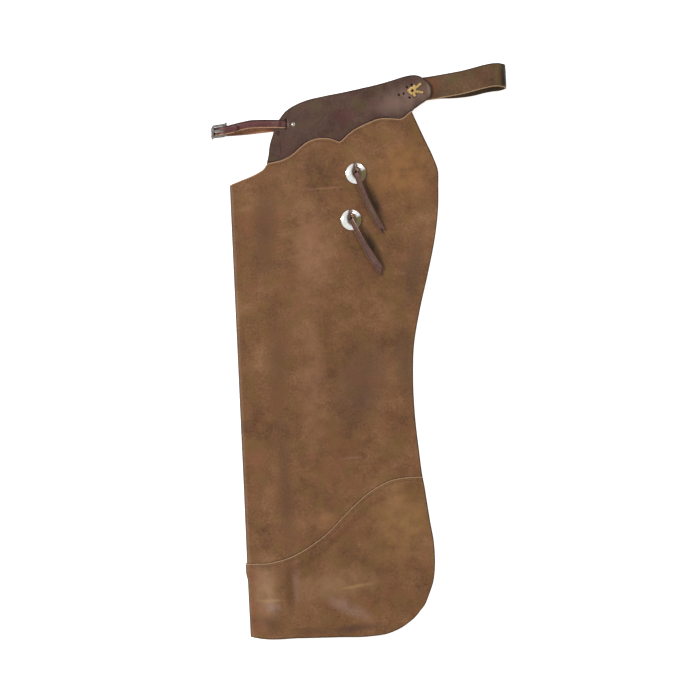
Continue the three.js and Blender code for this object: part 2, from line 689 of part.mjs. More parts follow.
for (const [legName, side] of [["left", 1], ["right", -1]]) {
  add(`${legName}_upper_panel`, cut(place(upperPanel(), side), slots), LEATHER);
  add(`${legName}_lower_panel`, place(lowerPanel(), side), LEATHER);
  const yokeCuts = [slit, rivetHole, centreHole, ...tailHoles, ...smallHoles];
  add(`${legName}_yoke`, cut(place(yoke(), side), yokeCuts), DARK_LEATHER);
  FASTENERS.forEach((fastener, i) => {
    const notch = uprightSlot(fastener.x, fastener.y + CONCHO.radius, CONCHO.notch, 2 * CONCHO.radius);
    add(`${legName}_${fastener.name}_concho`, cut(place(concho(fastener), side), [slots[i], notch]), SILVER);
    const forks = fastener.forked ? [forkNotch(fastener)] : [];
    add(`${legName}_${fastener.name}_string`, cut(place(string(fastener), side), forks), DARK_LEATHER);
    add(`${legName}_${fastener.name}_leg_strap`, cut(place(legStrap(fastener), side), [slots[i]]), LEATHER);
  });
  add(`${legName}_rivet`, place(rivet(), side), SILVER);
  add(`${legName}_lace`, lace(side), TAN);
}

const prongSlot = uprightSlot(NEAR_BAR, BUCKLE.y, BUCKLE.wire + 10, PRONG.slotWidth);
const billetSlot = uprightSlot(BUCKLE.x - 1, BUCKLE.y, BUCKLE.length * 0.54, PRONG.slotWidth);
add("back_belt", cut(place(belt(), 1), tailHoles), LEATHER);
add("front_strap", cut(place(frontStrap(), 1), [rivetHole, prongSlot]), DARK_LEATHER);
add("front_billet", cut(place(frontBillet(), 1), [rivetHole, billetSlot]), DARK_LEATHER);
add("buckle", place(buckleFrame(), 1), SILVER);
add("buckle_prong", place(buckleProng(), 1), SILVER);

const bounds = new THREE.Box3().setFromObject(group);
const middle = bounds.getCenter(new THREE.Vector3());
for (const mesh of group.children) mesh.geometry.translate(-middle.x, -middle.y, -bounds.min.z);

export default group;
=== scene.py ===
"""Leather batwing chaps, folded leg on leg and lying flat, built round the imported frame."""

import logging
import math
from bisect import bisect_right
from collections.abc import Callable, Sequence
from dataclasses import dataclass
from enum import Enum

import bmesh
import bpy
from mathutils import Matrix, Vector
from mathutils.kdtree import KDTree


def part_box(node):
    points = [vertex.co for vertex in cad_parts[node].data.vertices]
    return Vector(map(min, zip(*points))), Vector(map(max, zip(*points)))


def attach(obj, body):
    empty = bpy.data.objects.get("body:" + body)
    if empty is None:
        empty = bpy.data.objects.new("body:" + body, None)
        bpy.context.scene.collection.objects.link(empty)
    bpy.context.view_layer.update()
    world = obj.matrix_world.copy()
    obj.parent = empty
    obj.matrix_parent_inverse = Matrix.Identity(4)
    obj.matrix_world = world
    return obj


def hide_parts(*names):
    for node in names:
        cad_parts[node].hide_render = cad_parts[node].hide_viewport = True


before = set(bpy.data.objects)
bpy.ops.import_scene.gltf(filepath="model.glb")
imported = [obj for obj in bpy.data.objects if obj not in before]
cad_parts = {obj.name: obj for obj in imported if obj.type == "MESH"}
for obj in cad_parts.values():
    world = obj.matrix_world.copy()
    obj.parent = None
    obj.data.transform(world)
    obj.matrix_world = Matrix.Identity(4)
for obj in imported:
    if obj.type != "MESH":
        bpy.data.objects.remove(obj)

log = logging.getLogger("chaps")

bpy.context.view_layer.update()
MM = 0.001
WHITE = (1.0, 1.0, 1.0, 1.0)

Point = tuple[float, float, float]
Colour = tuple[int, int, int]

# Driving sizes, in millimetres.
CLEAR = 0.3
HEIGHT = 940.0
WIDTH = 340.0
SEAM_WIDTH = WIDTH * 0.956
TOP_WIDTH = WIDTH * 0.985
INNER_WIDTH = WIDTH * 0.565
INNER_DROP = HEIGHT * 0.05
LEG_THICKNESS = 2.4
FOLD_HOLLOW = 10.0
LAP_DEPTH = 12.0
LAP_EASE = 18.0
LAP_START = 15.0
YOKE_RISE = 7.0
YOKE_THICKNESS = 3.0
STRAP_THICKNESS = 2.2
STRAP_WIDTH = 15.0
CONCHO_RADIUS = 18.6
CONCHO_HEIGHT = 4.6
STRING_THICKNESS = 2.0
LEG_STRAP_THICKNESS = 2.0
LEG_STRAP_LEVEL = 4.5
RIVET_HOLE = 1.8

# Rows and columns of a sheet also lie this far in from an edge, so that its lip and its dark edge, partly
# wear and partly painted shade, show.
NEAR_EDGE = (0.0, 0.9, 1.7, 2.5, 3.4, 5.0, 7.5)
# How far beside a lap's lip the dark line along it lies, and the distance that stands for no lip.
LAP_SHADE = 0.8
NO_LIP = 99.0
# Edges sharper than this are rounded; points closer than this, in millimetres, are one.
SHARP = math.radians(50)
WELD = 1e-3
# The upright cutting tools: their height, and where their middles lie.
TOOL_HEIGHT = 200.0
TOOL_LEVEL = 20.0


def mix(low: float, high: float, share: float) -> float:
    """Returns the value that lies a share of the way from low to high."""
    return low + (high - low) * share


def smooth(value: float, low: float, high: float) -> float:
    """Returns 0 below low, 1 above high and a smooth step between them."""
    t = min(max((value - low) / (high - low), 0.0), 1.0)
    return t * t * (3.0 - 2.0 * t)


def bell(distance: float, reach: float) -> float:
    """Returns 1 at no distance and 0 from reach on."""
    return 1.0 - smooth(abs(distance), 0.0, reach)


def between(value: float, start: float, full: float, fade: float, end: float) -> float:
    """Returns 1 from full to fade, and falls smoothly to 0 at start and at end."""
    return smooth(value, start, full) * (1.0 - smooth(value, fade, end))


class Curve:
    """A smooth line through rows of (place, value), with corners where two arcs meet."""

    def __init__(self, rows: Sequence[tuple[float, float]], corners: Sequence[float] = ()) -> None:
        """Works out the slope on each side of every row.

        Args:
            rows: places in rising order, each with its value.
            corners: the places where the line turns sharply.
        """
        self.places = [place for place, _ in rows]
        self.values = [value for _, value in rows]
        steps = [
            (self.values[i + 1] - self.values[i]) / (self.places[i + 1] - self.places[i])
            for i in range(len(rows) - 1)
        ]
        self.before = [steps[0], *steps]
        self.after = [*steps, steps[-1]]
        for i in range(1, len(rows) - 1):
            if self.places[i] in corners:
                continue
            left = self.places[i] - self.places[i - 1]
            right = self.places[i + 1] - self.places[i]
            slope = (right * steps[i - 1] + left * steps[i]) / (left + right)
            self.before[i] = self.after[i] = slope

    def at(self, place: float) -> float:
        """Returns the value at a place; beyond the ends it stays as it is there.

        Args:
            place: the place.

        Returns:
            The value.
        """
        if place <= self.places[0]:
            return self.values[0]
        if place >= self.places[-1]:
            return self.values[-1]
        i = bisect_right(self.places, place) - 1
        span = self.places[i + 1] - self.places[i]
        t = (place - self.places[i]) / span
        low, high = self.values[i], self.values[i + 1]
        rise, fall = self.after[i] * span, self.before[i + 1] * span
        return (
            low * (1 + 2 * t) * (1 - t) ** 2
            + rise * t * (1 - t) ** 2
            + high * t * t * (3 - 2 * t)
            - fall * t * t * (1 - t)
        )


# Outlines of the leg: share of the width across, share of the height up.
HEM = Curve([
    (0, 0.002), (0.069, -0.003), (0.299, -0.005), (0.541, -0.0072), (0.722, -0.009), (0.85, -0.0045),
    (0.937, 0.0072), (1, 0.021),
])
SEAM = Curve([
    (0, 0.1435), (0.058, 0.1431), (0.113, 0.1429), (0.162, 0.1455), (0.23, 0.151), (0.303, 0.162),
    (0.384, 0.178), (0.47, 0.1995), (0.555, 0.228), (0.6055, 0.244), (0.665, 0.261), (0.715, 0.273),
    (0.764, 0.282), (0.812, 0.289), (0.897, 0.294), (1, 0.294),
])
TOP = Curve(
    [
        (0, 0.8735), (0.058, 0.881), (0.113, 0.888), (0.162, 0.896), (0.191, 0.903), (0.207, 0.912),
        (0.23, 0.9135), (0.303, 0.919), (0.346, 0.927), (0.384, 0.938), (0.422, 0.948), (0.47, 0.9545),
        (0.513, 0.9556), (0.555, 0.9536), (0.6055, 0.946), (0.628, 0.953), (0.665, 0.964), (0.715, 0.974),
        (0.764, 0.981), (0.812, 0.987), (0.897, 0.987), (0.933, 0.985), (0.957, 0.988), (0.983, 0.996),
        (1, 1),
    ],
    corners=(0.207, 0.6055, 0.933),
)
# The free back edge: share of the height up, share of the width across.
FREE_EDGE = Curve([
    (0.021, 0.877), (0.042, 0.931), (0.065, 0.9625), (0.088, 0.987), (0.114, 1), (0.141, 1.0035),
    (0.172, 1), (0.203, 0.988), (0.238, 0.976), (0.273, 0.9655), (0.294, 0.957), (0.343, 0.945),
    (0.412, 0.932), (0.482, 0.931), (0.551, 0.945), (0.62, 0.986), (0.688, 1.037), (0.757, 1.083),
    (0.816, 1.107), (0.855, 1.112), (0.884, 1.113), (0.908, 1.092), (0.944, 1.05), (1, 0.986),
])
# The yoke: share of its width across, share of the leg's height up.
YOKE_TOP_ROWS = [
    (0, 0.9957), (0.014, 1.0013), (0.035, 1.0087), (0.068, 1.016), (0.115, 1.0231), (0.181, 1.0299),
    (0.292, 1.0361), (0.423, 1.0419), (0.541, 1.048), (0.652, 1.0541), (0.744, 1.0606), (0.829, 1.0671),
    (0.878, 1.069), (0.907, 1.0682), (0.929, 1.0659), (0.947, 1.0621), (0.975, 1.0551), (0.994, 1.0473),
    (1, 1.0432),
]
YOKE_TOP = Curve(YOKE_TOP_ROWS)
YOKE_TIP = Curve([
    (0.86, 0.9985), (0.878, 1.0015), (0.907, 1.0077), (0.929, 1.0122), (0.947, 1.0158), (0.975, 1.0215),
    (0.994, 1.0282), (1, 1.0345),
])
# The yoke's front edge: share of its height up, distance in from the line between its corners.
YOKE_FRONT = Curve([(0, 0), (0.16, 5), (0.29, 5.2), (0.56, 7.1), (0.675, 5.9), (0.96, 1.8), (1, 0)])
YOKE_LEFT = WIDTH * 0.206
YOKE_TOP_LEFT = WIDTH * 0.279
YOKE_RIGHT = WIDTH * 1.1
YOKE_TIP_SHARE = 0.86
YOKE_LAP = 15.0

# The middles of the conchos, and their profile: share of the radius, share of the height.
CONCHO_PLACES = ((WIDTH * 0.676, HEIGHT * 0.8843), (WIDTH * 0.6394, HEIGHT * 0.7954))
CONCHO_PROFILE = [
    (0.0, 0.62), (0.3, 0.58), (0.6, 0.44), (0.84, 0.1), (0.9, 0.0), (1.0, 0.0), (1.0, 0.2),
    (0.99, 0.28), (0.965, 0.33), (0.93, 0.38), (0.88, 0.5), (0.78, 0.7), (0.68, 0.84), (0.56, 0.93),
    (0.42, 0.98), (0.3, 0.97), (0.2, 0.94), (0.1, 0.93), (0.0, 0.93),
]

# The near half of the belt: share of its run to the fold, share of the height up, how far it is open.
BELT_RUN = [
    (0, 1.0356, 0), (0.169, 1.0394, 0), (0.357, 1.0434, 0), (0.417, 1.0449, 0.081), (0.491, 1.0468, 0.315),
    (0.606, 1.05, 0.586), (0.715, 1.0546, 0.8), (0.814, 1.0591, 0.955), (0.903, 1.0615, 1),
]
BELT_WIDTH = 42.4
BELT_THICKNESS = 3.0
BELT_START = WIDTH * 0.9
BELT_END = WIDTH * 1.495
BELT_TURN = 16.5
BELT_OPEN = 13.0
BELT_FAR_DROP = 6.5

# The front strap, its buckle and its rivet.
SLIT = Vector((WIDTH * 0.314, HEIGHT * 0.9862))
STRAP_START = WIDTH * 0.379
BUCKLE_PLACE = Vector((WIDTH * -0.044, HEIGHT * 0.9793))
BUCKLE_Z = 4.0
BUCKLE_LENGTH = 28.0
BUCKLE_HEIGHT = 24.5
BUCKLE_WIRE = 3.0
FAR_BAR = BUCKLE_PLACE.x - (BUCKLE_LENGTH - BUCKLE_WIRE) / 2
NEAR_BAR = BUCKLE_PLACE.x + (BUCKLE_LENGTH - BUCKLE_WIRE) / 2
WRAP = BUCKLE_WIRE / 2 + STRAP_THICKNESS
RIVET_PLACE = Vector((WIDTH * 0.354, HEIGHT * 0.9851))

# The lace: its ring's middle, and millimetres from there to the small holes and the ends of its strand.
LACE_PLACE = Vector((WIDTH * 0.9968, HEIGHT * 1.0386))
LACE_HOLES = [(-0.8, 10.9), (-9.7, 6.8), (-16, -4.5), (-24.8, -6.3), (-5.8, -12.1), (3.1, -10.1)]
LACE_TAILS = [(15.5, 11.8), (18.3, -4.2)]
LACE_STUBS = [(4.5, 9.0), (4.2, -9.6), (-7.8, 1.0)]
# The share of a tail at which its pin goes down.
LACE_PIN_SHARE = 0.9

# Where the frame puts the leg's own zero, read from the corner of the yoke that is furthest back and up.
YOKE_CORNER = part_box("left_yoke")[1]
ORIGIN = Vector((
    YOKE_RIGHT - YOKE_CORNER.x / MM,
    HEIGHT * max(up for _, up in YOKE_TOP_ROWS) - YOKE_CORNER.y / MM,
))


def in_frame(x: float, y: float, height: float) -> Vector:
    """Returns a place of the leg and a height over the ground, in millimetres, as a point of the frame."""
    return Vector(((x - ORIGIN.x) * MM, (y - ORIGIN.y) * MM, height * MM))


class Side(Enum):
    """Which leg a piece belongs to; the value is the way its height over the mid surface is turned."""

    NEAR = 1
    FAR = -1

    @property
    def leg(self) -> str:
        """Returns the leg's name in the frame."""
        return "left" if self is Side.NEAR else "right"


class Drape:
    """How the folded leather lies: heights over the mid surface between the legs, and of that surface."""

    # How far from the seam the lap still lifts the inner half, and the whole leg.
    inner_reach = 130.0
    reach = 150.0
    # Shares of the width and the height over which the fold's hollow closes, across and up to the yoke.
    flat_from, flat_to = 0.26, 1.06
    yoke_from, yoke_to = 0.79, 0.945
    # Shares between which the conchos' lift comes in, across and up, and a little more behind them.
    lift_left, lift_right = 0.176, 0.559
    lift_from, lift_to = 0.49, 0.68
    back_to, back_lift = 1.5, 0.9

    @classmethod
    def inner(cls, y: float) -> float:
        """Returns the height of the inner half over the mid surface."""
        away = abs(y - HEIGHT * SEAM.at(0) + LAP_DEPTH / 2)
        return CLEAR + (LEG_THICKNESS + CLEAR) * bell(max(away - LAP_EASE, 0), cls.inner_reach)

    @classmethod
    def flesh(cls, x: float, y: float) -> float:
        """Returns the height of the outer half's flesh side over the mid surface.

        Args:
            x, y: the place on the leg.

        Returns:
            The height in millimetres.
        """
        fold = cls.inner(y) + LEG_THICKNESS + FOLD_HOLLOW
        leg = mix(fold, CLEAR, smooth(x / WIDTH, cls.flat_from, cls.flat_to))
        return mix(leg, YOKE_RISE, smooth(y / HEIGHT, cls.yoke_from, cls.yoke_to))

    @classmethod
    def grain(cls, x: float, y: float) -> float:
        """Returns the height over the mid surface of what lies on the outer half's grain side."""
        return cls.flesh(x, y) + LEG_THICKNESS + 2 * CLEAR

    @classmethod
    def ground(cls, x: float, y: float) -> float:
        """Returns the height by which conchos and laps hold the lower leg off the ground.

        Args:
            x, y: the place on the leg.

        Returns:
            The height in millimetres.
        """
        across = smooth(x / WIDTH, cls.lift_left, cls.lift_right)
        behind = cls.back_lift * smooth(x / WIDTH, cls.lift_right, cls.back_to)
        upper = smooth(y / HEIGHT, cls.lift_from, cls.lift_to)
        seam = y - HEIGHT * SEAM.at(x / SEAM_WIDTH) + LAP_DEPTH / 2
        lap = (LEG_THICKNESS + CLEAR) * bell(seam, cls.reach)
        return (2 * CONCHO_HEIGHT * across + behind) * upper + lap

    @classmethod
    def place(cls, side: Side, x: float, y: float, z: float) -> Vector:
        """Returns a point of a leg in the frame, in metres.

        Args:
            side: the leg.
            x: millimetres from the front fold.
            y: millimetres up from the hem.
            z: millimetres over the mid surface, towards that leg's outside.

        Returns:
            The point.
        """
        return in_frame(x, y, cls.ground(x, y) + cls.flesh(x, y) + LEG_THICKNESS + side.value * z)


# Shader maths


def linear(red: int, green: int, blue: int) -> tuple[float, float, float, float]:
    """Returns a screen colour as the linear colour that shaders take.

    Args:
        red, green, blue: its channels from 0 to 255.

    Returns:
        The linear channels and an alpha of 1.
    """
    shares = (channel / 255 for channel in (red, green, blue))
    bright = [s / 12.92 if s <= 0.04045 else ((s + 0.055) / 1.055) ** 2.4 for s in shares]
    return (*bright, 1.0)


class Shade:
    """A socket of a shader that takes part in Python expressions."""

    def __init__(self, graph: "Graph", socket: bpy.types.NodeSocket) -> None:
        """Wraps an output socket of a node in the graph."""
        self.graph = graph
        self.socket = socket

    def _maths(self, operation: str, *values: "Shade | float") -> "Shade":
        """Adds one Math node on these values."""
        return self.graph.node("ShaderNodeMath", {"operation": operation}, dict(enumerate(values)))

    def __add__(self, other: "Shade | float") -> "Shade":
        """Returns the sum."""
        return self._maths("ADD", self, other)

    __radd__ = __add__

    def __sub__(self, other: "Shade | float") -> "Shade":
        """Returns the difference."""
        return self._maths("SUBTRACT", self, other)

    def __rsub__(self, other: float) -> "Shade":
        """Returns other less this."""
        return self._maths("SUBTRACT", other, self)

    def __mul__(self, other: "Shade | float") -> "Shade":
        """Returns the product."""
        return self._maths("MULTIPLY", self, other)

    __rmul__ = __mul__

    def step(self, low: float, high: float) -> "Shade":
        """Returns a smooth step from 0 at low to 1 at high."""
        return self.graph.node(
            "ShaderNodeMapRange", {"interpolation_type": "SMOOTHSTEP"}, {0: self, 1: low, 2: high}
        )

    def tint(self, colour: "Shade | tuple", share: "Shade | float") -> "Shade":
        """Returns this colour mixed with another by a share."""
        return self.graph.node(
            "ShaderNodeMix", {"data_type": "RGBA"}, {0: share, 6: self, 7: colour}, output=2
        )


@dataclass(frozen=True)
class Mark:
    """A long soft mark on leather or metal: a scuff, a stain, painted shade along a fold line, or a painted
    shadow, highlight or reflection.

    Args:
        x, y: its middle, in millimetres on the leg.
        length, width: its half sizes in millimetres.
        turn: degrees from the leg's X axis.
        colour: its screen colour.
        share: how strongly it covers.
        core: the part of its size that it covers evenly, before it fades.
    """

    x: float
    y: float
    length: float
    width: float
    turn: float
    colour: Colour
    share: float
    core: float = 0.1


class Graph:
    """The nodes of one material."""

    def __init__(self, name: str) -> None:
        """Starts an empty material of that name."""
        self.material = bpy.data.materials.new(name)
        self.material.use_nodes = True
        self.tree = self.material.node_tree
        self.tree.nodes.clear()

    def node(
        self,
        kind: str,
        settings: dict | None = None,
        inputs: dict | None = None,
        output: int | str = 0,
    ) -> Shade:
        """Adds a node.

        Args:
            kind: the node's type.
            settings: its properties, set first, and stops as a list of (place, colour) for a ramp.
            inputs: the values or links of its sockets, by name or number.
            output: the socket that is returned.

        Returns:
            The chosen output socket.
        """
        made = self.tree.nodes.new(kind)
        for key, value in (settings or {}).items():
            if key != "stops":
                setattr(made, key, value)
                continue
            elements = made.color_ramp.elements
            while len(elements) < len(value):
                elements.new(1.0)
            for element, (place, colour) in zip(elements, value):
                element.position = place
                element.color = colour
        for key, value in (inputs or {}).items():
            if isinstance(value, Shade):
                self.tree.links.new(value.socket, made.inputs[key])
            else:
                made.inputs[key].default_value = value
        return Shade(self, made.outputs[output])

    def place(self) -> Shade:
        """Returns the Object coordinates, in metres."""
        return self.node("ShaderNodeTexCoord", output="Object")

    def noise(self, scale: float, detail: float = 3.0, twist: float = 0.0, shift: float = 0.0) -> Shade:
        """Returns cloudy noise from 0 to 1.

        Args:
            scale: clouds per metre.
            detail: how many finer layers it has.
            twist: how much it is distorted.
            shift: moves the pattern, so that two of one scale differ.

        Returns:
            The noise.
        """
        inputs = {"Vector": self.place(), "Location": (shift, shift, shift)}
        moved = self.node("ShaderNodeMapping", inputs=inputs)
        return self.node(
            "ShaderNodeTexNoise",
            inputs={"Vector": moved, "Scale": scale, "Detail": detail, "Distortion": twist},
        )

    def attribute(self, name: str) -> Shade:
        """Returns a number that the mesh carries at its points."""
        return self.node("ShaderNodeAttribute", {"attribute_name": name}, output="Fac")

    def ramp(self, tone: Shade, stops: Sequence[tuple[float, Colour]]) -> Shade:
        """Returns the colour that a tone picks from stops of (place, screen colour)."""
        settings = {"stops": [(place, linear(*colour)) for place, colour in stops]}
        return self.node("ShaderNodeValToRGB", settings, {0: tone})

    def bump(self, height: Shade, strength: float, distance: float) -> Shade:
        """Returns the normal of a surface that stands up by a height, over a distance in millimetres."""
        inputs = {"Strength": strength, "Distance": distance * MM, "Height": height}
        return self.node("ShaderNodeBump", inputs=inputs)

    def paint(self, colour: Shade, marks: Sequence[Mark], patchy: Shade | float) -> Shade:
        """Returns a colour with soft marks over it.

        Args:
            colour: what lies under the marks.
            marks: the marks, from the lowest to the highest.
            patchy: scales how strongly they cover.

        Returns:
            The painted colour.
        """
        for mark in marks:
            moved = self.node("ShaderNodeMapping", {"vector_type": "TEXTURE"}, {
                "Vector": self.place(),
                "Location": in_frame(mark.x, mark.y, 0.0),
                "Rotation": (0.0, 0.0, math.radians(mark.turn)),
                "Scale": (mark.length * MM, mark.width * MM, 1.0),
            })
            level = {0: moved, 1: (1.0, 1.0, 0.0)}
            flat = self.node("ShaderNodeVectorMath", {"operation": "MULTIPLY"}, level)
            away = self.node("ShaderNodeVectorMath", {"operation": "LENGTH"}, {0: flat}, output="Value")
            cover = (1 - away.step(mark.core, 1.0)) * mark.share
            colour = colour.tint(linear(*mark.colour), cover * patchy)
        return colour

    def close(self, inputs: dict) -> bpy.types.Material:
        """Ends the material in a Principled shader.

        Args:
            inputs: the values or links of the shader's sockets, by name.

        Returns:
            The material.
        """
        shader = self.node("ShaderNodeBsdfPrincipled", inputs=inputs)
        end = self.tree.nodes.new("ShaderNodeOutputMaterial")
        self.tree.links.new(shader.socket, end.inputs["Surface"])
        return self.material




@dataclass(frozen=True)
class Leather:
    """Oiled leather with blotches, a fine grain and dark edges that are partly wear and partly painted shade;
    lengths are in millimetres.

    Args:
        name: the material's name.
        dark, middle, light: the tones of its clouds.
        red, olive: the colours of its patches.
        edge, lip: the colours of its dark edges, which are wear and also painted shade along folds, beside
            laps and along rounded strings, and of its pale cut lip.
        edge_reach, lip_reach: how far in those two reach.
        roughness: how dull it is.
        grain: how strongly its pores show.
        marks: its scuffs and stains, and painted shade, shadows and highlights.
    """

    name: str
    dark: Colour
    middle: Colour
    light: Colour
    red: Colour
    olive: Colour
    edge: Colour
    lip: Colour
    edge_reach: float = 3.0
    lip_reach: float = 2.6
    roughness: float = 0.5
    grain: float = 0.25
    marks: tuple[Mark, ...] = ()

    # What each noise counts in the tone, and where in the tone the three colours stand.
    cloud_share, mottle_share, fleck_share = 0.42, 0.26, 0.32
    dark_at, middle_at, light_at = 0.36, 0.5, 0.66
    # Where in their noise patches start and are full, and how strongly they and the edges cover.
    patch_from, patch_full = 0.46, 0.7
    patch_cover, edge_cover = 0.6, 0.9
    # The mottles break up the marks, and dull and polish the surface by this much.
    broken_from, broken_full, broken_share = 0.32, 0.6, 0.5
    dulled = 0.16
    pores_per_metre = 620.0

    def dress(self) -> bpy.types.Material:
        """Returns the material."""
        graph = Graph(self.name)
        cloud = graph.noise(14, detail=3, twist=0.1)
        mottle = graph.noise(44, detail=4, twist=0.15, shift=3.0)
        fleck = graph.noise(260, detail=4, twist=0.2, shift=7.0)
        tone = cloud * self.cloud_share + mottle * self.mottle_share + fleck * self.fleck_share
        colour = graph.ramp(
            tone, [(self.dark_at, self.dark), (self.middle_at, self.middle), (self.light_at, self.light)]
        )
        for patch, scale, shift in ((self.red, 26, 11.0), (self.olive, 34, 17.0)):
            spread = graph.noise(scale, detail=4, twist=0.2, shift=shift)
            cover = spread.step(self.patch_from, self.patch_full) * self.patch_cover
            colour = colour.tint(linear(*patch), cover)
        broken = mottle.step(self.broken_from, self.broken_full)
        colour = graph.paint(colour, self.marks, broken * self.broken_share + (1 - self.broken_share))
        wobble = graph.noise(130, detail=2, shift=5.0)
        # The edge colour is wear and painted shade: it darkens the edges, the fold's crest, lines beside laps
        # and the strings' edges. The lip colour is the pale cut edge.
        for key, rim, reach, full, wander in (
            ("edge", self.edge, self.edge_reach, 0.35, 1.6),
            ("lip", self.lip, self.lip_reach, 0.6, 1.2),
        ):
            away = graph.attribute(key) + wobble * wander - wander / 2
            colour = colour.tint(linear(*rim), (1 - away.step(reach * full, reach)) * self.edge_cover)
        pores = graph.node(
            "ShaderNodeTexVoronoi",
            {"feature": "SMOOTH_F1"},
            {"Vector": graph.place(), "Scale": self.pores_per_metre},
        )
        return graph.close({
            "Base Color": colour,
            "Roughness": self.roughness - self.dulled / 2 + mottle * self.dulled,
            "Specular IOR Level": 0.18,
            "Normal": graph.bump(pores * 0.5 + fleck * 0.5 + mottle * 0.5, self.grain, 0.6),
        })


@dataclass(frozen=True)
class RawEdge:
    """Cut or flesh leather: dull and fibrous."""

    name: str
    colour: Colour
    deep: Colour

    # Where in the tone the two colours stand, and how dull it is at least and at most.
    deep_at, colour_at = 0.35, 0.62
    roughness, fuzz = 0.85, 0.1

    def dress(self) -> bpy.types.Material:
        """Returns the material."""
        graph = Graph(self.name)
        fibre = graph.noise(420, detail=4, twist=0.6)
        patch = graph.noise(45, detail=3, twist=0.3, shift=4.0)
        tone = fibre * 0.5 + patch * 0.5
        return graph.close({
            "Base Color": graph.ramp(tone, [(self.deep_at, self.deep), (self.colour_at, self.colour)]),
            "Roughness": self.roughness + fibre * self.fuzz,
            "Normal": graph.bump(fibre, 0.4, 0.5),
        })


@dataclass(frozen=True)
class Silver:
    """Bright plated metal with fine wear and tarnish.

    Args:
        name: the material's name.
        bright, tarnish: its colours where clean and where stained.
        stain: how far it is stained at most.
        glow: how strongly it shines by itself, as painted light for the bright studio that it would mirror.
        marks: painted reflections and glints of the dark and coloured things that it would mirror.
    """

    name: str
    bright: Colour
    tarnish: Colour
    stain: float = 0.35
    glow: float = 0.3
    marks: tuple[Mark, ...] = ()

    # What each noise counts in the wear, where the wear starts and is full, and how dull it makes the metal.
    cloud_share, scratch_share = 0.7, 0.3
    worn_from, worn_full = 0.45, 0.7
    polish, dulled = 0.12, 0.14

    def dress(self) -> bpy.types.Material:
        """Returns the material."""
        graph = Graph(self.name)
        cloud = graph.noise(160, detail=4, twist=0.5)
        scratch = graph.noise(900, detail=3, twist=2.0, shift=2.0)
        worn = (cloud * self.cloud_share + scratch * self.scratch_share).step(self.worn_from, self.worn_full)
        colour = graph.ramp(worn * self.stain, [(0.0, self.bright), (1.0, self.tarnish)])
        colour = graph.paint(colour, self.marks, 1.0)
        return graph.close({
            "Base Color": colour,
            "Metallic": 1.0,
            "Roughness": self.polish + worn * self.dulled,
            # Painted light: the metal glows by itself in its own colour.
            "Emission Color": colour,
            "Emission Strength": self.glow,
            "Normal": graph.bump(scratch, 0.15, 0.3),
        })


@dataclass(frozen=True)
class Thread:
    """Waxed sewing thread with a slight twist."""

    name: str
    colour: Colour
    deep: Colour

    def dress(self) -> bpy.types.Material:
        """Returns the material."""
        graph = Graph(self.name)
        twist = graph.noise(1500, detail=2)
        return graph.close({
            "Base Color": graph.ramp(twist, [(0.4, self.deep), (0.6, self.colour)]),
            "Roughness": 0.6,
        })


Finish = Leather | RawEdge | Silver | Thread


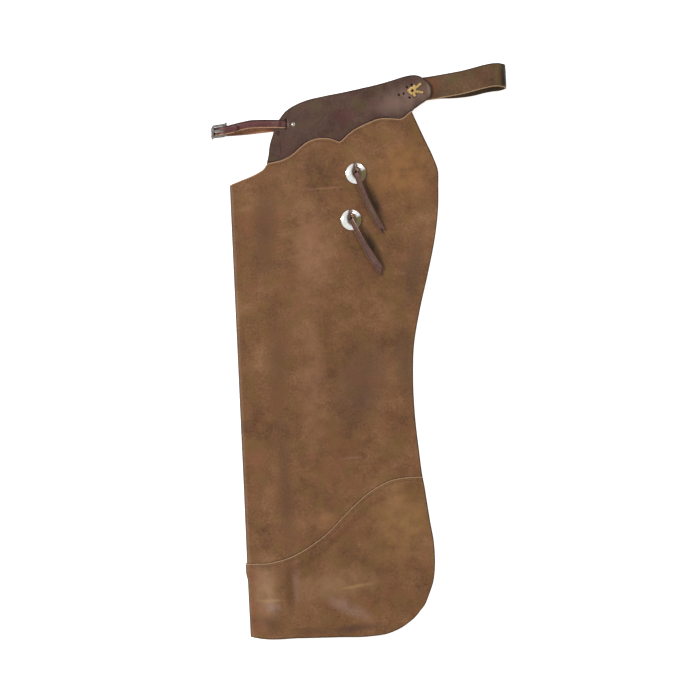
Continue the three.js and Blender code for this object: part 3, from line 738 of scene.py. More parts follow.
class Finishes:
    """Every finish of the chaps, made once."""

    leg_marks = (
        # Painted shade down a long valley of the leather, where it turns from the light, and painted
        # highlights on the ridge beside it.
        Mark(60, 735, 140, 34, 84, (92, 64, 44), 0.6),
        Mark(74, 500, 170, 34, 88, (94, 64, 42), 0.65),
        Mark(76, 270, 160, 24, 91, (86, 58, 38), 0.65),
        Mark(140, 690, 140, 44, 88, (144, 104, 78), 0.5),
        Mark(134, 450, 170, 36, 90, (142, 102, 76), 0.5),
        Mark(222, 450, 110, 66, 70, (92, 66, 52), 0.65),
        Mark(325, 655, 90, 26, 80, (84, 62, 46), 0.7),
        Mark(303, 490, 110, 30, 95, (88, 64, 46), 0.6),
        Mark(312, 830, 84, 70, 60, (150, 104, 60), 0.55),
        Mark(144, 204, 34, 20, 30, (150, 106, 70), 0.5),
        Mark(285, 195, 120, 84, 70, (142, 104, 64), 0.6),
        Mark(160, 90, 110, 40, 0, (140, 108, 78), 0.55),
        Mark(172, 807, 46, 3.2, 2, (160, 112, 94), 0.55),
        Mark(199, 317, 30, 2.8, 3, (144, 110, 86), 0.45),
        # Painted highlight on the roll beside the fold near the hem.
        Mark(34, 84, 84, 34, 90, (156, 122, 94), 0.6),
        # Painted shadow beside that roll.
        Mark(75, 86, 84, 14, 90, (84, 56, 36), 0.7),
        Mark(89, 92, 56, 10, 90, (124, 94, 86), 0.4),
        Mark(9, 68, 86, 3.5, 90, (140, 80, 60), 0.45),
        Mark(38, 67, 34, 5, -3, (166, 134, 92), 0.5),
        # Painted highlight low on the leg.
        Mark(44, 54, 22, 15, -30, (150, 122, 114), 0.5),
        Mark(38, 24, 30, 17, -40, (86, 60, 40), 0.65),
        # Painted highlight across the lower leg.
        Mark(180, 46, 62, 18, -28, (146, 118, 106), 0.45),
        Mark(193, 84, 48, 5, 7, (160, 130, 82), 0.5),
        Mark(190, 8, 66, 12, 3, (78, 54, 42), 0.75),
        Mark(108, 8, 50, 9, 0, (92, 64, 42), 0.6),
        # Painted shadows cast by the two strings.
        Mark(260, 781, 64, 12, -67, (40, 26, 19), 0.9),
        Mark(252, 702, 62, 13, -62, (40, 26, 19), 0.9),
        # Painted shadow round each concho.
        *(Mark(x, y, 26, 26, 0, (58, 36, 38), 1.0) for x, y in CONCHO_PLACES),
    )
    leg = Leather(
        "oiled_leg_leather",
        dark=(86, 57, 35),
        middle=(111, 77, 50),
        light=(136, 98, 68),
        red=(119, 77, 52),
        olive=(110, 82, 44),
        edge=(52, 38, 24),
        lip=(156, 121, 93),
        lip_reach=2.5,
        marks=leg_marks,
    )
    yoke = Leather(
        "dark_yoke_leather",
        dark=(58, 40, 34),
        middle=(76, 55, 46),
        light=(94, 72, 61),
        red=(84, 50, 48),
        olive=(84, 70, 46),
        edge=(40, 27, 24),
        lip=(40, 27, 24),
        roughness=0.45,
        marks=(
            # Painted highlight on the yoke's raised edge beside the slit.
            Mark(111, 927, 10, 1.5, 88, (132, 104, 96), 0.9),
            Mark(92, 912, 8, 5, 90, (48, 28, 30), 0.8),
            Mark(95, 888, 24, 3, 92, (62, 36, 34), 0.7),
            # Painted sheen towards the yoke's back.
            Mark(322, 962, 84, 36, 15, (120, 96, 86), 0.8),
            Mark(140, 940, 34, 18, 30, (64, 44, 38), 0.4),
            Mark(368, 978, 22, 5, 94, (120, 104, 88), 0.7),
        ),
    )
    belt = Leather(
        "belt_leather",
        dark=(64, 44, 28),
        middle=(86, 61, 42),
        light=(110, 82, 58),
        red=(102, 62, 42),
        olive=(82, 72, 40),
        edge=(38, 28, 20),
        lip=(158, 128, 92),
        lip_reach=1.8,
        marks=(
            Mark(511, 994, 60, 15, 88, (24, 18, 13), 1.0, 0.35),
            Mark(492, 994, 30, 6, 88, (94, 88, 54), 0.6),
            Mark(372, 985, 28, 20, 20, (118, 76, 48), 0.5),
        ),
    )
    strap = Leather(
        "strap_leather",
        dark=(66, 42, 44),
        middle=(90, 58, 56),
        light=(118, 84, 80),
        red=(104, 52, 52),
        olive=(92, 66, 54),
        edge=(36, 22, 24),
        lip=(174, 138, 102),
        lip_reach=1.8,
        edge_reach=3.6,
        roughness=0.4,
        marks=(
            # Painted shade where the strap goes down into the slit.
            Mark(97, 927, 12, 7, 90, (56, 24, 30), 0.85),
            Mark(64, 927, 34, 8, 0, (72, 32, 38), 0.6),
            Mark(12, 931, 26, 6, 8, (136, 118, 112), 0.55),
        ),
    )
    # Its edge colour darkens the string's edges a little: painted shade that makes the flat string look
    # rounded.
    string = Leather(
        "string_leather",
        dark=(78, 54, 48),
        middle=(104, 76, 68),
        light=(134, 104, 94),
        red=(104, 68, 66),
        olive=(96, 78, 62),
        edge=(74, 50, 46),
        lip=(190, 158, 134),
        lip_reach=3.0,
        edge_reach=3.0,
        roughness=0.6,
    )
    thong = RawEdge("thong_leather", (150, 128, 116), (112, 92, 82))
    raw = RawEdge("raw_edge", (176, 138, 104), (120, 88, 62))
    flesh = RawEdge("flesh_side", (150, 120, 94), (112, 84, 62))
    tan_flesh = RawEdge("tan_flesh_side", (172, 124, 94), (130, 90, 68))
    dark_flesh = RawEdge("dark_flesh_side", (96, 76, 54), (66, 50, 36))
    lace = RawEdge("tan_lace_leather", (204, 172, 108), (142, 112, 58))
    silver = Silver(
        "plated_silver",
        (246, 246, 244),
        (150, 140, 124),
        # Painted reflections on each concho: dark olive at the lower right, a green spot, grey shade in the
        # notch, a dark middle and an orange glint.
        marks=tuple(
            Mark(x + across, y + up, length, width, turn, colour, share, core)
            for x, y in CONCHO_PLACES
            for across, up, length, width, turn, colour, share, core in (
                (14, -6, 17, 11, 70, (116, 102, 78), 1.0, 0.6),
                (14, 1, 9, 5, 10, (120, 114, 62), 0.9, 0.3),
                (-1, 13, 10, 5.4, 92, (122, 102, 96), 1.0, 0.5),
                (1, 2, 16, 11.5, 96, (98, 80, 70), 1.0, 0.6),
                (2, 5, 6, 3.4, 60, (168, 124, 96), 0.9, 0.3),
            )
        ),
    )
    nickel = Silver("buckle_nickel", (168, 164, 160), (30, 26, 24), stain=1.0, glow=0.0)
    steel = Silver("rivet_nickel", (214, 204, 196), (112, 98, 88), stain=0.8, glow=0.1)
    thread = Thread("waxed_thread", (66, 50, 30), (40, 28, 20))

    def __init__(self) -> None:
        """Starts with no material made."""
        self.made: dict[str, bpy.types.Material] = {}

    def get(self, finish: Finish) -> bpy.types.Material:
        """Returns the material of a finish, made when it is first asked for."""
        if finish.name not in self.made:
            self.made[finish.name] = finish.dress()
        return self.made[finish.name]


FINISHES = Finishes()


# Mesh helpers


def linked(name: str, data: bpy.types.ID) -> bpy.types.Object:
    """Makes an object and links it to the scene.

    Args:
        name: its name.
        data: its mesh, light or camera.

    Returns:
        The object.
    """
    made = bpy.data.objects.new(name, data)
    bpy.context.scene.collection.objects.link(made)
    return made


def finished(
    name: str,
    bm: bmesh.types.BMesh,
    finishes: Sequence[Finish],
    nodes: Sequence[str] = (),
) -> bpy.types.Object:
    """Makes a piece from a mesh, dresses it and ties it to the frame.

    Args:
        name: the piece's name.
        bm: its mesh in the frame, in metres; it is freed.
        finishes: one finish for each of its material numbers.
        nodes: the CAD nodes that it stands for.

    Returns:
        The piece.
    """
    mesh = bpy.data.meshes.new(name)
    bm.to_mesh(mesh)
    bm.free()
    mesh.shade_smooth()
    for finish in finishes:
        mesh.materials.append(FINISHES.get(finish))
    piece = linked(name, mesh)
    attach(piece, "root")
    if nodes:
        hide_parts(*nodes)
    log.info("%s: %d faces", name, len(mesh.polygons))
    return piece


def settle(piece: bpy.types.Object) -> None:
    """Turns a piece's modifiers into its mesh.

    Args:
        piece: the piece; its modifiers are gone afterwards.
    """
    bpy.context.view_layer.update()
    depsgraph = bpy.context.evaluated_depsgraph_get()
    mesh = bpy.data.meshes.new_from_object(piece.evaluated_get(depsgraph))
    piece.modifiers.clear()
    piece.data = mesh
    mesh.shade_smooth()


def soften(piece: bpy.types.Object, rounding: float, segments: int = 2) -> None:
    """Rounds a piece's sharp edges.

    Args:
        piece: the piece.
        rounding: the radius in millimetres.
        segments: the number of faces round it.
    """
    edge = piece.modifiers.new("edge", "BEVEL")
    edge.width = rounding * MM
    edge.segments = segments
    edge.limit_method = "ANGLE"
    edge.angle_limit = SHARP
    edge.use_clamp_overlap = True


def thicken(piece: bpy.types.Object, thickness: float, offset: float, flesh: int, rounding: float) -> None:
    """Gives a sheet its wall, with a rim of its own finish and softened edges.

    Args:
        piece: the sheet.
        thickness: its wall in millimetres.
        offset: -1 puts the wall behind the sheet, 0 on both sides.
        flesh: material number of the back, over that of the front.
        rounding: radius of its edges in millimetres.
    """
    wall = piece.modifiers.new("wall", "SOLIDIFY")
    wall.thickness = thickness * MM
    wall.offset = offset
    wall.use_even_offset = True
    wall.material_offset_rim = 1
    wall.material_offset = flesh
    soften(piece, rounding)


def carve(piece: bpy.types.Object, tools: bmesh.types.BMesh) -> None:
    """Cuts closed tool shapes out of a piece, after its other modifiers.

    Args:
        piece: the piece.
        tools: the shapes; they are freed.
    """
    mesh = bpy.data.meshes.new("tools")
    tools.to_mesh(mesh)
    tools.free()
    tool = linked("tools", mesh)
    cut = piece.modifiers.new("cut", "BOOLEAN")
    cut.operation = "DIFFERENCE"
    cut.solver = "EXACT"
    cut.object = tool
    settle(piece)
    bpy.data.objects.remove(tool)
    bpy.data.meshes.remove(mesh)


def add_slot(
    bm: bmesh.types.BMesh, x: float, y: float, length: float, width: float, turn: float = 0.0
) -> None:
    """Adds an upright box to a tool mesh.

    Args:
        bm: the tool mesh.
        x, y: its place on the leg in millimetres.
        length, width: its sizes in millimetres.
        turn: how far it is turned, in radians.
    """
    place = Matrix.Translation(in_frame(x, y, TOOL_LEVEL)) @ Matrix.Rotation(turn, 4, "Z")
    size = Matrix.Diagonal((length * MM, width * MM, TOOL_HEIGHT * MM, 1.0))
    bmesh.ops.create_cube(bm, size=1.0, matrix=place @ size)


def add_hole(bm: bmesh.types.BMesh, x: float, y: float, radius: float) -> None:
    """Adds an upright cylinder to a tool mesh.

    Args:
        bm: the tool mesh.
        x, y: its place on the leg in millimetres.
        radius: its radius in millimetres.
    """
    bmesh.ops.create_cone(
        bm,
        cap_ends=True,
        segments=20,
        radius1=radius * MM,
        radius2=radius * MM,
        depth=TOOL_HEIGHT * MM,
        matrix=Matrix.Translation(in_frame(x, y, TOOL_LEVEL)),
    )


def add_bead(
    bm: bmesh.types.BMesh, place: Matrix, sizes: tuple[float, float, float], around: int, high: int
) -> None:
    """Adds a ball with three different half sizes to a mesh.

    Args:
        bm: the mesh.
        place: where it lies and how it is turned.
        sizes: its half sizes.
        around, high: the number of its faces round and up.
    """
    size = Matrix.Diagonal((*sizes, 1.0))
    bmesh.ops.create_uvsphere(bm, u_segments=around, v_segments=high, radius=1.0, matrix=place @ size)


def spun(profile: Sequence[tuple[float, float]], count: int) -> bmesh.types.BMesh:
    """Makes a round solid by spinning a profile once round.

    Args:
        profile: rows of radius and height, from axis to axis.
        count: the number of steps round.

    Returns:
        The mesh, round its own middle.
    """
    bm = bmesh.new()
    line = [bm.verts.new((radius, 0.0, height)) for radius, height in profile]
    edges = [bm.edges.new(pair) for pair in zip(line, line[1:])]
    bmesh.ops.spin(
        bm,
        geom=line + edges,
        cent=(0, 0, 0),
        axis=(0, 0, 1),
        angle=math.tau,
        steps=count,
        use_merge=True,
    )
    bmesh.ops.remove_doubles(bm, verts=bm.verts, dist=WELD)
    return bm


def lay(
    bm: bmesh.types.BMesh, side: Side, x: float, y: float, base: Callable[[float, float], float]
) -> None:
    """Moves a mesh in millimetres from round its own middle to its place on a leg, in the frame.

    Args:
        bm: the mesh.
        side: the leg.
        x, y: where its middle comes to lie.
        base: the height over the mid surface that its own zero gets, at a place across and up.
    """
    for vertex in bm.verts:
        across, up = x + vertex.co.x, y + vertex.co.y
        vertex.co = Drape.place(side, across, up, base(across, up) + vertex.co.z)
    # The far leg's mirror turns the faces round, which the recalculation only sees in fresh normals.
    bm.normal_update()
    bmesh.ops.recalc_face_normals(bm, faces=bm.faces)


@dataclass
class Cell:
    """One point of a mapped sheet: its place, and its millimetres from the sheet's edges and its lip."""

    point: Vector
    edge: float
    lip: float = NO_LIP


def mapped_sheet(columns: int, rows: int, at: Callable[[int, int], Cell]) -> bmesh.types.BMesh:
    """Makes a grid and lays each of its points.

    Args:
        columns, rows: the number of its points each way.
        at: gives the cell of a column and a row.

    Returns:
        The sheet, with its distances from the edges at its points.
    """
    bm = bmesh.new()
    edge = bm.verts.layers.float.new("edge")
    lip = bm.verts.layers.float.new("lip")
    bmesh.ops.create_grid(bm, x_segments=columns - 1, y_segments=rows - 1, size=0.5)
    for vertex in bm.verts:
        i = round((vertex.co.x + 0.5) * (columns - 1))
        j = round((vertex.co.y + 0.5) * (rows - 1))
        cell = at(i, j)
        vertex.co = cell.point
        vertex[edge] = cell.edge
        vertex[lip] = cell.lip
    bm.normal_update()
    return bm


def face_up(bm: bmesh.types.BMesh, upward: float, start: float = -math.inf) -> None:
    """Turns a sheet so that its faces look up, or down.

    Args:
        bm: the sheet.
        upward: 1 for up, -1 for down.
        start: only the faces from here on along X are judged, in metres.
    """
    judged = [face for face in bm.faces if face.calc_center_median().x > start]
    if sum(face.normal.z * face.calc_area() for face in judged) * upward < 0:
        bmesh.ops.reverse_faces(bm, faces=bm.faces)


def steps(count: int) -> list[float]:
    """Returns that many even steps from 0 to 1, both ends among them."""
    return [i / (count - 1) for i in range(count)]


def nearest(points: Sequence[Vector]) -> KDTree:
    """Returns a tree that finds the nearest of these points.

    Args:
        points: the points.

    Returns:
        The tree.
    """
    tree = KDTree(len(points))
    for i, point in enumerate(points):
        tree.insert(point, i)
    tree.balance()
    return tree


# The folded panels


@dataclass(frozen=True)
class Swell:
    """How worn leather stands up from its even lie: a roll near the hem and waves above; in millimetres.

    Args:
        roll_height, roll_x, roll_reach: the roll beside the front fold.
        dip_depth, dip_x, dip_reach: the dip behind it.
        roll_up: where up the leg the roll starts, is full, fades and ends.
        wave_height, wave_depth: the most that the waves rise and sink.
        wave_x, wave_y, wave_drift, wave_start: their paces across and up, their slant and their start.
        sway, sway_y: how far they sway, and over what height.
        wave_up, wave_across: where up and across they start, are full, fade and end.
        seam_rest: how far from the seam they start and are full.
    """

    roll_height: float = 3.6
    roll_x: float = 40.0
    roll_reach: float = 21.0
    dip_depth: float = 0.3
    dip_x: float = 78.0
    dip_reach: float = 11.0
    roll_up: tuple[float, float, float, float] = (0, 12, 90, 130)
    wave_height: float = 0.5
    wave_depth: float = 0.25
    wave_x: float = 37.0
    wave_y: float = 93.0
    wave_drift: float = 151.0
    wave_start: float = 0.6
    sway: float = 1.2
    sway_y: float = 71.0
    wave_up: tuple[float, float, float, float] = (20, 60, 700, 760)
    wave_across: tuple[float, float, float, float] = (15, 50, 270, 310)
    seam_rest: tuple[float, float] = (20, 60)

    def at(self, x: float, y: float) -> float:
        """Returns the height of the swell.

        Args:
            x, y: the place on the leg.

        Returns:
            The height over the even lie.
        """
        roll = self.roll_height * math.exp(-(((x - self.roll_x) / self.roll_reach) ** 2))
        dip = self.dip_depth * math.exp(-(((x - self.dip_x) / self.dip_reach) ** 2))
        waves = self.wave_height * math.sin(x / self.wave_x + self.sway * math.sin(y / self.sway_y))
        waves *= math.sin(y / self.wave_y + x / self.wave_drift + self.wave_start)
        seam = abs(y - HEIGHT * SEAM.at(x / SEAM_WIDTH))
        calm = between(y, *self.wave_up) * between(x, *self.wave_across) * smooth(seam, *self.seam_rest)
        low = max(roll - dip, -self.dip_depth) * between(y, *self.roll_up)
        return low + max(waves, -self.wave_depth) * calm


class Part(Enum):
    """The three parts of a folded panel."""

    INNER = "inner half"
    FOLD = "fold"
    OUTER = "outer half"


@dataclass(frozen=True)
class Row:
    """A row of a leg panel: share between its outlines, millimetres down from there, lift over the leg."""

    share: float
    down: float = 0.0
    lift: float = 0.0


@dataclass(frozen=True)
class Column:
    """A column of a leg panel: share of its half's width, millimetres in from there, angle round the fold."""

    part: Part
    share: float = 0.0
    inset: float = 0.0
    angle: float = 0.0


@dataclass
class LegPanel:
    """One folded leather panel of a leg.

    Args:
        name: upper_panel or lower_panel.
        side: the leg.
        lower, upper: its outlines.
        inner_lower, inner_upper: the ends of its hidden inner half by share across, in millimetres.
        rows: its rows, from its lower outline up.
        cell: the size of its mesh in millimetres.
    """

    name: str
    side: Side
    lower: Curve
    upper: Curve
    inner_lower: Callable[[float], float]
    inner_upper: Callable[[float], float]
    rows: list[Row]
    cell: float

    # The shares of each half's width between which its columns are even, and the columns round the fold.
    inner_from, inner_to = 0.94, 0.05
    outer_from, outer_to = 0.032, 0.97
    fold_columns = 17
    # Where across only the outer half lies, half the opening under a concho, and the edges' radius.
    single_from = 250.0
    opening = 6.0
    rounding = 0.45
    seam_points = 120
    wear = Swell()

    def columns(self) -> list[Column]:
        """Returns the columns from the inner half's free edge round the fold to the outer one's."""
        inner_count, outer_count = int(INNER_WIDTH / (2 * self.cell)), int(WIDTH / self.cell)
        inner = [Column(Part.INNER, 1.0, inset) for inset in NEAR_EDGE]
        inner += [Column(Part.INNER, mix(self.inner_from, self.inner_to, s)) for s in steps(inner_count)]
        fold = [Column(Part.FOLD, angle=math.radians(mix(-90, 90, s))) for s in steps(self.fold_columns)]
        outer = [Column(Part.OUTER, mix(self.outer_from, self.outer_to, s)) for s in steps(outer_count)]
        outer += [Column(Part.OUTER, 1.0, inset) for inset in reversed(NEAR_EDGE)]
        return inner + fold + outer

    def outer_height(self, share: float, row: Row) -> float:
        """Returns the height of a row on the outer half."""
        return HEIGHT * mix(self.lower.at(share), self.upper.at(share), row.share) - row.down

    def inner_height(self, share: float, row: Row) -> float:
        """Returns the height of a row on the inner half."""
        return mix(self.inner_lower(share), self.inner_upper(share), row.share) - row.down

    def point(self, column: Column, row: Row) -> tuple[float, float, float]:
        """Returns a point of the grain side.

        Args:
            column, row: where in the panel it lies.

        Returns:
            Its millimetres across, up and over the mid surface.
        """
        offset = row.lift * (LEG_THICKNESS + CLEAR)
        width = WIDTH * FREE_EDGE.at(self.outer_height(1.0, row) / HEIGHT)
        if column.part is Part.OUTER:
            x = column.share * width - column.inset
            y = self.outer_height(x / width, row)
            return x, y, Drape.flesh(x, y) + LEG_THICKNESS + offset + self.swell(x, y)
        if column.part is Part.INNER:
            x = column.share * INNER_WIDTH - column.inset
            y = self.inner_height(x / INNER_WIDTH, row)
            return x, y, Drape.inner(y) - offset
        x, y = 0.0, self.outer_height(0.0, row)
        for _ in range(2):
            run = max(x, 0.0)
            if column.angle > 0:
                y = self.outer_height(run / width, row)
            else:
                y = self.inner_height(run / INNER_WIDTH, row)
            radius = (Drape.flesh(0, y) + LEG_THICKNESS - Drape.inner(y)) / 2
            x = radius - (radius + offset) * math.cos(column.angle)
        swell = self.swell(x, y) * max(math.sin(column.angle), 0.0)
        return x, y, Drape.inner(y) + radius + (radius + offset) * math.sin(column.angle) + swell

    def swell(self, x: float, y: float) -> float:
        """Returns how far the worn leather stands up; only the leg that shows is worn."""
        return self.wear.at(x, y) if self.side is Side.NEAR else 0.0

    def build(self) -> bpy.types.Object:
        """Builds and dresses the panel."""
        columns = self.columns()
        spots = [[self.point(column, row) for row in self.rows] for column in columns]
        front = [column.part for column in columns].index(Part.FOLD) + self.fold_columns // 2
        flat = [
            [Vector((x if i >= front else -x, y, 0.0)) for x, y, _ in line] for i, line in enumerate(spots)
        ]
        # Besides the edges, the fold's crest and a line along the seam's lap take the dark edge colour:
        # painted shade on the turned fold and a painted shadow beside the lap's lip.
        plain = [line[0] for line in flat] + flat[0] + flat[-1] + flat[front]
        plain += [
            Vector((share * SEAM_WIDTH, HEIGHT * SEAM.at(share) - LAP_SHADE, 0.0))
            for share in steps(self.seam_points)
        ]
        lip_tree, edge_tree = nearest([line[-1] for line in flat]), nearest(plain)

        def at(i: int, j: int) -> Cell:
            """Returns the cell of one column and row."""
            spot = flat[i][j]
            return Cell(Drape.place(self.side, *spots[i][j]), edge_tree.find(spot)[2], lip_tree.find(spot)[2])

        bm = mapped_sheet(len(columns), len(self.rows), at)
        face_up(bm, self.side.value, start=in_frame(self.single_from, 0, 0).x)
        self.punch(bm)
        node = f"{self.side.leg}_{self.name}"
        finishes = [Finishes.leg, Finishes.raw, Finishes.flesh]
        piece = finished(f"{node}_leather", bm, finishes, [node])
        thicken(piece, LEG_THICKNESS, offset=-1.0, flesh=2, rounding=self.rounding)
        settle(piece)
        return piece

    def punch(self, bm: bmesh.types.BMesh) -> None:
        """Opens both halves where the strings pass through, under the conchos.

        Args:
            bm: the panel's mesh.
        """
        half = self.opening * MM
        for fastener in fasteners(self.side):
            middle = in_frame(fastener.x, fastener.y, 0)
            ways = [(face, face.calc_center_median() - middle) for face in bm.faces]
            under = [face for face, way in ways if abs(way.x) < half and abs(way.y) < half]
            bmesh.ops.delete(bm, geom=under, context="FACES")


def upper_panel(side: Side, cell: float) -> LegPanel:
    """Returns the main panel, from the seam up to the scalloped edge.

    Args:
        side: the leg.
        cell: the size of its mesh in millimetres.

    Returns:
        The panel.
    """
    lap_rows = (0.0, 1.5, 4.0, 8.0)
    even_to, even_reach = 0.98, 0.7
    rows = [Row(0.0, LAP_DEPTH - inset) for inset in lap_rows]
    rows += [Row(mix(0.0, even_to, s)) for s in steps(int(even_reach * HEIGHT / cell))]
    rows += [Row(1.0, inset) for inset in reversed(NEAR_EDGE)]
    return LegPanel(
        name="upper_panel",
        side=side,
        lower=SEAM,
        upper=TOP,
        inner_lower=lambda share: HEIGHT * SEAM.at(0),
        inner_upper=lambda share: HEIGHT * TOP.at(0) - INNER_DROP * share,
        rows=rows,
        cell=cell,
    )


def lower_panel(side: Side, cell: float) -> LegPanel:
    """Returns the lower panel, from the hem up to the seam, where it laps over the upper one.

    Args:
        side: the leg.
        cell: the size of its mesh in millimetres.

    Returns:
        The panel.
    """
    even_from, even_to, even_reach = 0.09, 0.7, 0.14
    lap_rows = (*range(33, 12, -3), 11.0, *reversed(NEAR_EDGE))
    rows = [Row(0.0, -inset) for inset in NEAR_EDGE]
    rows += [Row(mix(even_from, even_to, s)) for s in steps(int(even_reach * HEIGHT / cell))]
    rows += [Row(1.0, down, 1 - smooth(down, LAP_START, LAP_START + LAP_EASE)) for down in lap_rows]
    return LegPanel(
        name="lower_panel",
        side=side,
        lower=HEM,
        upper=SEAM,
        inner_lower=lambda share: HEIGHT * HEM.at(0) * (1 - share),
        inner_upper=lambda share: HEIGHT * SEAM.at(0),
        rows=rows,
        cell=cell,
    )


@dataclass
class Yoke:
    """The dark waist piece of a leg, with its slit and the small holes round the lace."""

    side: Side
    cell: float

    # Its usual width, the shares between which its columns are even, and its rows.
    across = WIDTH * 0.85
    even_from, even_to = 0.04, 0.97
    rows = (0.0, *(mix(0.06, 0.9, s) for s in steps(18)), 0.93, 0.95, 0.965, 0.977, 0.99, 1.0)
    # How far before and after the tip's start its lower edge leaves the scallops.
    tip_before, tip_after = 0.03, 0.02
    rounding = 0.5
    scallop_points = 160
    # The slit's shift, length and room beside the strap, and the radius of each kind of hole.
    slit_shift, slit_length, slit_room = -0.3, 3.6, 1.2
    pin_hole, lacing_hole, tail_hole = 1.5, 1.9, 1.4

    def lower_edge(self, share: float) -> float:
        """Returns the height of its lower edge, most of which the leg panel covers.

        Args:
            share: the share of the yoke's width.

        Returns:
            The height on the leg.
        """
        x = mix(YOKE_LEFT, YOKE_RIGHT, share)
        hidden = HEIGHT * TOP.at(x / TOP_WIDTH) - YOKE_LAP
        free = smooth(share, YOKE_TIP_SHARE - self.tip_before, YOKE_TIP_SHARE + self.tip_after)
        return mix(hidden, HEIGHT * YOKE_TIP.at(share), free)

    def spot(self, share: float, up: float) -> Vector:
        """Returns a point of the yoke.

        Args:
            share: its share of the width.
            up: its share of the height.

        Returns:
            Its place on the leg.
        """
        left = mix(YOKE_LEFT, YOKE_TOP_LEFT, up) - YOKE_FRONT.at(up)
        y = mix(self.lower_edge(share), HEIGHT * YOKE_TOP.at(share), up)
        return Vector((mix(left, YOKE_RIGHT, share), y, 0.0))

    def build(self) -> bpy.types.Object:
        """Builds and dresses the yoke."""
        columns = [inset / self.across for inset in NEAR_EDGE]
        columns += [mix(self.even_from, self.even_to, s) for s in steps(int(self.across / self.cell))]
        columns += [1 - inset / self.across for inset in reversed(NEAR_EDGE)]
        flat = [[self.spot(share, up) for up in self.rows] for share in columns]
        plain = [line[-1] for line in flat] + flat[0] + flat[-1]
        plain += [line[0] for line, share in zip(flat, columns) if share > YOKE_TIP_SHARE]
        # A line just above the leg panel's scalloped edge takes the dark edge colour: a painted shadow along
        # that edge.
        plain += [
            Vector((share * TOP_WIDTH, HEIGHT * TOP.at(share) + LAP_SHADE, 0.0))
            for share in steps(self.scallop_points)
        ]
        tree = nearest(plain)

        def at(i: int, j: int) -> Cell:
            """Returns the cell of one column and row."""
            x, y, _ = flat[i][j]
            return Cell(Drape.place(self.side, x, y, Drape.flesh(x, y) - CLEAR), tree.find(flat[i][j])[2])

        bm = mapped_sheet(len(columns), len(self.rows), at)
        face_up(bm, self.side.value)
        node = f"{self.side.leg}_yoke"
        finishes = [Finishes.yoke, Finishes.raw, Finishes.flesh]
        piece = finished(f"{node}_leather", bm, finishes, [node])
        thicken(piece, YOKE_THICKNESS, offset=-1.0, flesh=2, rounding=self.rounding)
        carve(piece, self.holes())
        return piece

    def holes(self) -> bmesh.types.BMesh:
        """Returns the tools for the slit, the rivet and the lacing holes."""
        bm = bmesh.new()
        add_slot(bm, SLIT.x + self.slit_shift, SLIT.y, self.slit_length, STRAP_WIDTH + self.slit_room)
        add_hole(bm, RIVET_PLACE.x, RIVET_PLACE.y, RIVET_HOLE)
        add_hole(bm, LACE_PLACE.x, LACE_PLACE.y, self.pin_hole)
        for x, y in LACE_HOLES:
            add_hole(bm, LACE_PLACE.x + x, LACE_PLACE.y + y, self.lacing_hole)
        for x, y in LACE_TAILS:
            add_hole(bm, LACE_PLACE.x + LACE_PIN_SHARE * x, LACE_PLACE.y + LACE_PIN_SHARE * y, self.tail_hole)
        return bm


# Straps and strings


@dataclass(frozen=True)
class Station:
    """One place along a band: its middle in millimetres, and its width there."""

    x: float
    y: float
    z: float
    width: float


class Tip(Enum):
    """How the far end of a band is cut."""

    SQUARE = "square"
    SLANTED = "slanted"
    FORKED = "forked"
    POINTED = "pointed"


